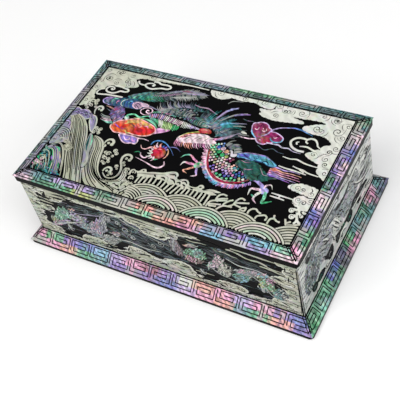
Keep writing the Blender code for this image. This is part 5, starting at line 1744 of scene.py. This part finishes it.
# Nacre: scale of the slow drift and of the streaks against that of the patches, times that the
# hue runs round, shares of streaks, patches and grain in the shade, and the shade's middle
DRIFT_SCALE, STREAK_SCALE, HUE_ROUNDS = 0.37, 0.6, 3.1
STREAK_SHARE, PATCH_SHARE, GRAIN_SHARE, MIDDLE_SHADE = 0.55, 0.75, 0.25, 0.78

# Patch size, rainbow, hue swing, lightness, light swing, bump and roughness of each shell
SHELLS = {"silver_shell": (9.0, 0.1, 0.05, 0.98, 0.3, 0.12, 0.34),
    "coloured_shell": (6.0, 0.16, 0.12, 0.84, 1.1, 0.2, 0.26)}

# Lacquer: its black in 0 to 255 steps, the roughness of each solid and of the engraved lines,
# the size and light of dust specks, the light of its clouding and the roughness from rubbing
LACQUER_BLACK = (10, 10, 11)
GLOSS = {"lid": 0.1, "box_body": 0.14, "plinth": 0.14}
LINE_GLOSS = 0.2
SPECK_SIZE, SPECK_LIGHT, CLOUDING, RUBBING = 0.05, 0.015, 0.004, 0.1


def new_material(name):
    """A material with an empty tree but for its shader and output."""
    material = bpy.data.materials.new(name)
    material.use_nodes = True
    return material, material.node_tree, material.node_tree.nodes["Principled BSDF"]


def group_tree(name, inputs, outputs):
    """A shader node group with named sockets, and its input and output nodes."""
    tree = bpy.data.node_groups.new(name, "ShaderNodeTree")
    for socket, kind, value in inputs:
        made = tree.interface.new_socket(socket, in_out="INPUT", socket_type=kind)
        made.default_value = value
    for socket, kind in outputs:
        tree.interface.new_socket(socket, in_out="OUTPUT", socket_type=kind)
    return tree, tree.nodes.new("NodeGroupInput"), tree.nodes.new("NodeGroupOutput")


def node(tree, kind, settings=None, **values):
    """A node with settings on itself and plain values on its inputs."""
    made = tree.nodes.new(kind)
    for key, value in (settings or {}).items():
        setattr(made, key, value)
    for key, value in values.items():
        made.inputs[key.replace("_", " ")].default_value = value
    return made


def sum_of(tree, operation, first, second):
    """A math node. Each side is a socket or a number."""
    made = node(tree, "ShaderNodeMath", {"operation": operation})
    for socket, value in zip(made.inputs, (first, second)):
        if isinstance(value, (int, float)):
            socket.default_value = value
        else:
            tree.links.new(value, socket)
    return made.outputs[0]


def nacre_group():
    """Shimmer of shell: hue that wanders, light and dark streaks and a fine grain."""
    name = "Nacre"
    if name in bpy.data.node_groups:
        return bpy.data.node_groups[name]
    tree, start, end = group_tree(
        name,
        (("Tint", "NodeSocketColor", (0.8, 0.8, 0.8, 1.0)), ("Patch Size", "NodeSocketFloat", 4.0),
         ("Rainbow", "NodeSocketFloat", 0.2), ("Hue Swing", "NodeSocketFloat", 0.1),
         ("Lightness", "NodeSocketFloat", 1.0), ("Light Swing", "NodeSocketFloat", 0.4)),
        (("Color", "NodeSocketColor"), ("Height", "NodeSocketFloat")))
    link = tree.links.new
    place = tree.nodes.new("ShaderNodeTexCoord").outputs["Object"]
    pitch = sum_of(tree, "DIVIDE", 1.0 / MM, start.outputs["Patch Size"])
    patches = node(tree, "ShaderNodeTexNoise", Detail=3.0, Roughness=0.6, Distortion=0.8)
    link(place, patches.inputs["Vector"])
    link(pitch, patches.inputs["Scale"])
    drift = node(tree, "ShaderNodeTexNoise", Detail=2.0, Roughness=0.5, Distortion=0.3)
    link(place, drift.inputs["Vector"])
    link(sum_of(tree, "MULTIPLY", pitch, DRIFT_SCALE), drift.inputs["Scale"])
    streaks = node(tree, "ShaderNodeTexWave", {"bands_direction": "DIAGONAL"}, Distortion=7.0, Detail=3.0,
        Detail_Scale=1.6)
    link(place, streaks.inputs["Vector"])
    link(sum_of(tree, "MULTIPLY", pitch, STREAK_SCALE), streaks.inputs["Scale"])
    grain = node(tree, "ShaderNodeTexNoise", Scale=2600.0, Detail=2.0)
    link(place, grain.inputs["Vector"])

    hue = sum_of(tree, "FRACT", sum_of(tree, "MULTIPLY", patches.outputs["Fac"], HUE_ROUNDS), 0.0)
    flash = node(tree, "ShaderNodeMapRange", From_Min=0.46, From_Max=0.66, To_Min=0.15)
    link(drift.outputs["Fac"], flash.inputs["Value"])
    bow = node(tree, "ShaderNodeCombineColor", {"mode": "HSV"}, Green=0.62, Blue=0.86)
    link(hue, bow.inputs["Red"])
    swing = sum_of(tree, "SUBTRACT", drift.outputs["Fac"], 0.5)
    turned = node(tree, "ShaderNodeHueSaturation")
    link(sum_of(tree, "ADD", 0.5, sum_of(tree, "MULTIPLY", swing, start.outputs["Hue Swing"])),
        turned.inputs["Hue"])
    link(start.outputs["Tint"], turned.inputs["Color"])
    mixed = node(tree, "ShaderNodeMix", {"data_type": "RGBA"})
    link(sum_of(tree, "MULTIPLY", flash.outputs["Result"], start.outputs["Rainbow"]),
        mixed.inputs["Factor"])
    link(turned.outputs["Color"], mixed.inputs["A"])
    link(bow.outputs["Color"], mixed.inputs["B"])

    shade_sum = sum_of(tree, "ADD", sum_of(tree, "MULTIPLY", streaks.outputs["Fac"], STREAK_SHARE),
        sum_of(tree, "MULTIPLY", patches.outputs["Fac"], PATCH_SHARE))
    shade_sum = sum_of(tree, "ADD", shade_sum, sum_of(tree, "MULTIPLY", grain.outputs["Fac"], GRAIN_SHARE))
    lightness = sum_of(tree, "ADD", start.outputs["Lightness"], sum_of(
        tree, "MULTIPLY", sum_of(tree, "SUBTRACT", shade_sum, MIDDLE_SHADE), start.outputs["Light Swing"]))
    scaled = node(tree, "ShaderNodeVectorMath", {"operation": "SCALE"})
    link(mixed.outputs["Result"], scaled.inputs[0])
    link(lightness, scaled.inputs["Scale"])
    link(scaled.outputs["Vector"], end.inputs["Color"])
    link(shade_sum, end.inputs["Height"])
    return tree


def shell_material(name):
    """Silver or coloured shell under a thin clear coat. Its tint is painted on each plate."""
    if name in bpy.data.materials:
        return bpy.data.materials[name]
    *values, bump_strength, roughness = SHELLS[name]
    material, tree, shader = new_material(name)
    tint = node(tree, "ShaderNodeAttribute", {"attribute_name": "tint"})
    nacre = tree.nodes.new("ShaderNodeGroup")
    nacre.node_tree = nacre_group()
    for socket, value in zip(("Patch Size", "Rainbow", "Hue Swing", "Lightness", "Light Swing"), values):
        nacre.inputs[socket].default_value = value
    tree.links.new(tint.outputs["Color"], nacre.inputs["Tint"])
    tree.links.new(nacre.outputs["Color"], shader.inputs["Base Color"])
    bump = node(tree, "ShaderNodeBump", Strength=bump_strength, Distance=0.0002)
    tree.links.new(nacre.outputs["Height"], bump.inputs["Height"])
    tree.links.new(bump.outputs["Normal"], shader.inputs["Normal"])
    shader.inputs["Roughness"].default_value = roughness
    shader.inputs["Specular IOR Level"].default_value = 0.26
    shader.inputs["Coat Weight"].default_value = 0.14
    shader.inputs["Coat Roughness"].default_value = 0.08
    return material


def lacquer_group():
    """Depth of hand-rubbed lacquer: faint rubbing marks, dust and a soft unevenness."""
    name = "Rubbed Lacquer"
    if name in bpy.data.node_groups:
        return bpy.data.node_groups[name]
    tree, start, end = group_tree(
        name,
        (("Color", "NodeSocketColor", (0.01, 0.01, 0.01, 1.0)), ("Gloss", "NodeSocketFloat", 0.12)),
        (("Color", "NodeSocketColor"), ("Roughness", "NodeSocketFloat"), ("Height", "NodeSocketFloat")))
    link = tree.links.new
    place = tree.nodes.new("ShaderNodeTexCoord").outputs["Object"]
    cloudy = node(tree, "ShaderNodeTexNoise", Scale=38.0, Detail=4.0)
    rubbing = node(tree, "ShaderNodeTexNoise", Scale=900.0, Detail=3.0, Roughness=0.7)
    dust = node(tree, "ShaderNodeTexVoronoi", Scale=420.0)
    for made in (cloudy, rubbing, dust):
        link(place, made.inputs["Vector"])
    speck = sum_of(tree, "MULTIPLY",
        sum_of(tree, "LESS_THAN", dust.outputs["Distance"], SPECK_SIZE), SPECK_LIGHT)
    lift = sum_of(tree, "ADD", speck, sum_of(tree, "MULTIPLY", cloudy.outputs["Fac"], CLOUDING))
    mixed = node(tree, "ShaderNodeMix", {"data_type": "RGBA"}, B=(0.5, 0.5, 0.5, 1.0))
    link(lift, mixed.inputs["Factor"])
    link(start.outputs["Color"], mixed.inputs["A"])
    link(mixed.outputs["Result"], end.inputs["Color"])
    rough = sum_of(tree, "ADD", start.outputs["Gloss"],
        sum_of(tree, "MULTIPLY", rubbing.outputs["Fac"], RUBBING))
    link(rough, end.inputs["Roughness"])
    link(cloudy.outputs["Fac"], end.inputs["Height"])
    return tree


def lacquer_material(name, colour, gloss):
    """Black gloss lacquer."""
    if name in bpy.data.materials:
        return bpy.data.materials[name]
    material, tree, shader = new_material(name)
    rubbed = tree.nodes.new("ShaderNodeGroup")
    rubbed.node_tree = lacquer_group()
    rubbed.inputs["Color"].default_value = (*colour, 1.0)
    rubbed.inputs["Gloss"].default_value = gloss
    bump = node(tree, "ShaderNodeBump", Strength=0.05, Distance=0.0004)
    tree.links.new(rubbed.outputs["Color"], shader.inputs["Base Color"])
    tree.links.new(rubbed.outputs["Roughness"], shader.inputs["Roughness"])
    tree.links.new(rubbed.outputs["Height"], bump.inputs["Height"])
    tree.links.new(bump.outputs["Normal"], shader.inputs["Normal"])
    shader.inputs["Specular IOR Level"].default_value = 0.02
    return material


def line_material():
    """The lacquer that fills the engraved lines."""
    return lacquer_material("engraved_lacquer", tuple(bpy.context.scene.box_tints.line), LINE_GLOSS)


def floor_material():
    """A plain pale floor with the faintest mottle."""
    material, tree, shader = new_material("pale_floor")
    mottle = node(tree, "ShaderNodeTexNoise", Scale=6.0, Detail=2.0)
    mixed = node(tree, "ShaderNodeMix", {"data_type": "RGBA"}, A=(0.9, 0.9, 0.9, 1.0),
        B=(0.92, 0.92, 0.92, 1.0))
    tree.links.new(mottle.outputs["Fac"], mixed.inputs["Factor"])
    tree.links.new(mixed.outputs["Result"], shader.inputs["Base Color"])
    shader.inputs["Roughness"].default_value = 0.9
    shader.inputs["Specular IOR Level"].default_value = 0.1
    return material


# Operators

class BoxOperator(bpy.types.Operator):
    """Shared options of the operators that dress the box."""
    bl_options = {"REGISTER", "UNDO"}


class BOX_OT_lacquer(BoxOperator):
    """Give the lid, the body and the plinth their black gloss lacquer"""
    bl_idname = "box.lacquer"
    bl_label = "Lacquer"

    def execute(self, context):
        for name, gloss in GLOSS.items():
            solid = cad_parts[name]
            material = lacquer_material("rubbed_" + name, srgb(*LACQUER_BLACK), gloss)
            for slot in solid.material_slots:
                slot.material = material
        return {"FINISHED"}


class BOX_OT_lid_clouds(BoxOperator):
    """Inlay the clouds on the lid"""
    bl_idname = "box.lid_clouds"
    bl_label = "Lid clouds"

    def execute(self, context):
        inlay = Inlay()
        pen, px, py = panel_pen(inlay)
        rng = random.Random(SEEDS["lid_clouds"])
        draw_back_clouds(pen, px, py, rng, context.scene.box_inlay.scroll_gap / MM)
        draw_ribbon_clouds(pen)
        inlay.build("lid_clouds")
        return {"FINISHED"}


class BOX_OT_lid_sea(BoxOperator):
    """Inlay the waves, the foam and the wave fans on the lid"""
    bl_idname = "box.lid_sea"
    bl_label = "Lid sea"

    def execute(self, context):
        sizes = context.scene.box_inlay
        line = sizes.line / MM
        inlay = Inlay()
        pen, px, py = panel_pen(inlay)
        rng = random.Random(SEEDS["lid_sea"])
        draw_breaking_wave(pen, px, py, rng, line)
        draw_near_waves(pen, px, py, rng)
        draw_surf_ridge(pen)
        draw_fans(pen, sizes.fan_pitch / MM, 1.6 * line)
        draw_hollow(pen)
        draw_foam(pen)
        inlay.build("lid_sea")
        return {"FINISHED"}


class BOX_OT_lid_dragon(BoxOperator):
    """Inlay the dragon, its pearl and the magenta cloud on the lid"""
    bl_idname = "box.lid_dragon"
    bl_label = "Lid dragon"

    def execute(self, context):
        inlay = Inlay()
        pen, _, _ = panel_pen(inlay)
        rng = random.Random(SEEDS["lid_dragon"])
        draw_magenta_cloud(pen)
        draw_dragon_rear(pen, rng)
        draw_dragon_front(pen, rng)
        draw_pearl(pen, rng)
        inlay.build("lid_dragon")
        return {"FINISHED"}


class BOX_OT_lid_border(BoxOperator):
    """Inlay the key pattern on the lid's sloped border"""
    bl_idname = "box.lid_border"
    bl_label = "Lid border"

    def execute(self, context):
        lay_border("lid")
        return {"FINISHED"}


class BOX_OT_plinth_border(BoxOperator):
    """Inlay the key pattern on the plinth's sloped band"""
    bl_idname = "box.plinth_border"
    bl_label = "Plinth border"

    def execute(self, context):
        lay_border("plinth")
        return {"FINISHED"}


class BOX_OT_walls(BoxOperator):
    """Inlay the pictures on the four walls"""
    bl_idname = "box.walls"
    bl_label = "Walls"

    def execute(self, context):
        for side, face in wall_faces().items():
            inlay = Inlay()
            draw_wall(inlay, face, side)
            corner_thread(inlay, face, random.Random(SEEDS["corner"]))
            inlay.build(side + "_wall_picture")
        return {"FINISHED"}


# Name, place, width in metres, power in watts and colour of each light
LIGHTS = (("key_light", (-0.9, -2.2, 2.5), 2.4, 66.0, (1.0, 0.99, 0.97)), ("fill_light", (2.7, -0.3, 2.0),
    2.4, 44.0, (0.97, 0.98, 1.0)), ("top_light", (1.0, -0.7, 3.5), 2.6, 62.0, (1.0, 1.0, 1.0)))
LIGHT_AIM = (0.0, 0.0, 0.04)
SENSOR_WIDTH = 36.0                 # millimetres
CLIP_START, CLIP_END = 0.01, 50.0   # metres
FLOOR_DROP = 0.0002                 # from the box's underside to the floor, in metres


def area_light(name, place, size, power, colour):
    """A soft square light that shines from its place towards the box."""
    data = bpy.data.lights.new(name, "AREA")
    data.size, data.energy, data.color = size, power, colour
    lamp = bpy.data.objects.new(name, data)
    lamp.location = place
    lamp.rotation_euler = (Vector(LIGHT_AIM) - Vector(place)).to_track_quat("-Z", "Y").to_euler()
    bpy.context.scene.collection.objects.link(lamp)


class BOX_OT_stage(BoxOperator):
    """Set up the camera, the soft lights and the pale floor"""
    bl_idname = "box.stage"
    bl_label = "Stage"

    def execute(self, context):
        stage, scene = context.scene.box_stage, context.scene
        half = 0.5 * stage.floor
        mesh = bpy.data.meshes.new("floor")
        mesh.from_pydata([(-half, -half, 0), (half, -half, 0), (half, half, 0), (-half, half, 0)], [],
            [(0, 1, 2, 3)])
        mesh.materials.append(floor_material())
        floor = bpy.data.objects.new("floor", mesh)
        floor.location.z = -FLOOR_DROP
        scene.collection.objects.link(floor)

        a, e, r = stage.azimuth, stage.elevation, stage.roll
        ahead = Vector((-math.sin(a) * math.cos(e), math.cos(a) * math.cos(e), -math.sin(e)))
        level = Vector((math.cos(a), math.sin(a), 0.0))
        above = level.cross(ahead)
        right = level * math.cos(r) + above * math.sin(r)
        up = above * math.cos(r) - level * math.sin(r)
        data = bpy.data.cameras.new("camera")
        data.lens, data.sensor_width = stage.lens, SENSOR_WIDTH
        data.clip_start, data.clip_end = CLIP_START, CLIP_END
        camera = bpy.data.objects.new("camera", data)
        turn = Matrix((right, up, -ahead)).transposed().to_4x4()
        camera.matrix_world = Matrix.Translation(stage.camera) @ turn
        scene.collection.objects.link(camera)
        scene.camera = camera

        for light in LIGHTS:
            area_light(*light)
        world = bpy.data.worlds.new("soft_sky")
        world.use_nodes = True
        sky = world.node_tree.nodes["Background"]
        sky.inputs["Color"].default_value = (1.0, 1.0, 1.0, 1.0)
        sky.inputs["Strength"].default_value = stage.sky
        scene.world = world
        scene.view_settings.view_transform = "Standard"
        return {"FINISHED"}


class BOX_PT_panel(bpy.types.Panel):
    """Sidebar panel that lists the steps and the settings"""
    bl_idname = "BOX_PT_panel"
    bl_label = "Lacquer Box"
    bl_space_type = "VIEW_3D"
    bl_region_type = "UI"
    bl_category = "Lacquer Box"

    def draw(self, context):
        column = self.layout.column(align=True)
        for operator in OPERATORS:
            column.operator(operator.bl_idname)
        for group in (context.scene.box_inlay, context.scene.box_stage, context.scene.box_tints):
            box = self.layout.box()
            for name in group.bl_rna.properties.keys():
                if name not in ("rna_type", "name"):
                    box.prop(group, name)


OPERATORS = (BOX_OT_lacquer, BOX_OT_lid_clouds, BOX_OT_lid_sea, BOX_OT_lid_dragon, BOX_OT_lid_border,
    BOX_OT_plinth_border, BOX_OT_walls, BOX_OT_stage)
GROUPS = {"box_tints": BOX_PG_tints, "box_inlay": BOX_PG_inlay, "box_stage": BOX_PG_stage}


def register():
    for made in (*GROUPS.values(), *OPERATORS, BOX_PT_panel):
        bpy.utils.register_class(made)
    for name, group in GROUPS.items():
        setattr(bpy.types.Scene, name, bpy.props.PointerProperty(type=group))


def unregister():
    for name in GROUPS:
        delattr(bpy.types.Scene, name)
    for made in (BOX_PT_panel, *reversed(OPERATORS), *reversed(GROUPS.values())):
        bpy.utils.unregister_class(made)


def main():
    """Dresses the box."""
    register()
    for operator in OPERATORS:
        getattr(bpy.ops.box, operator.bl_idname.split(".")[1])()
    bpy.context.view_layer.update()


if __name__ == "__main__":
    main()
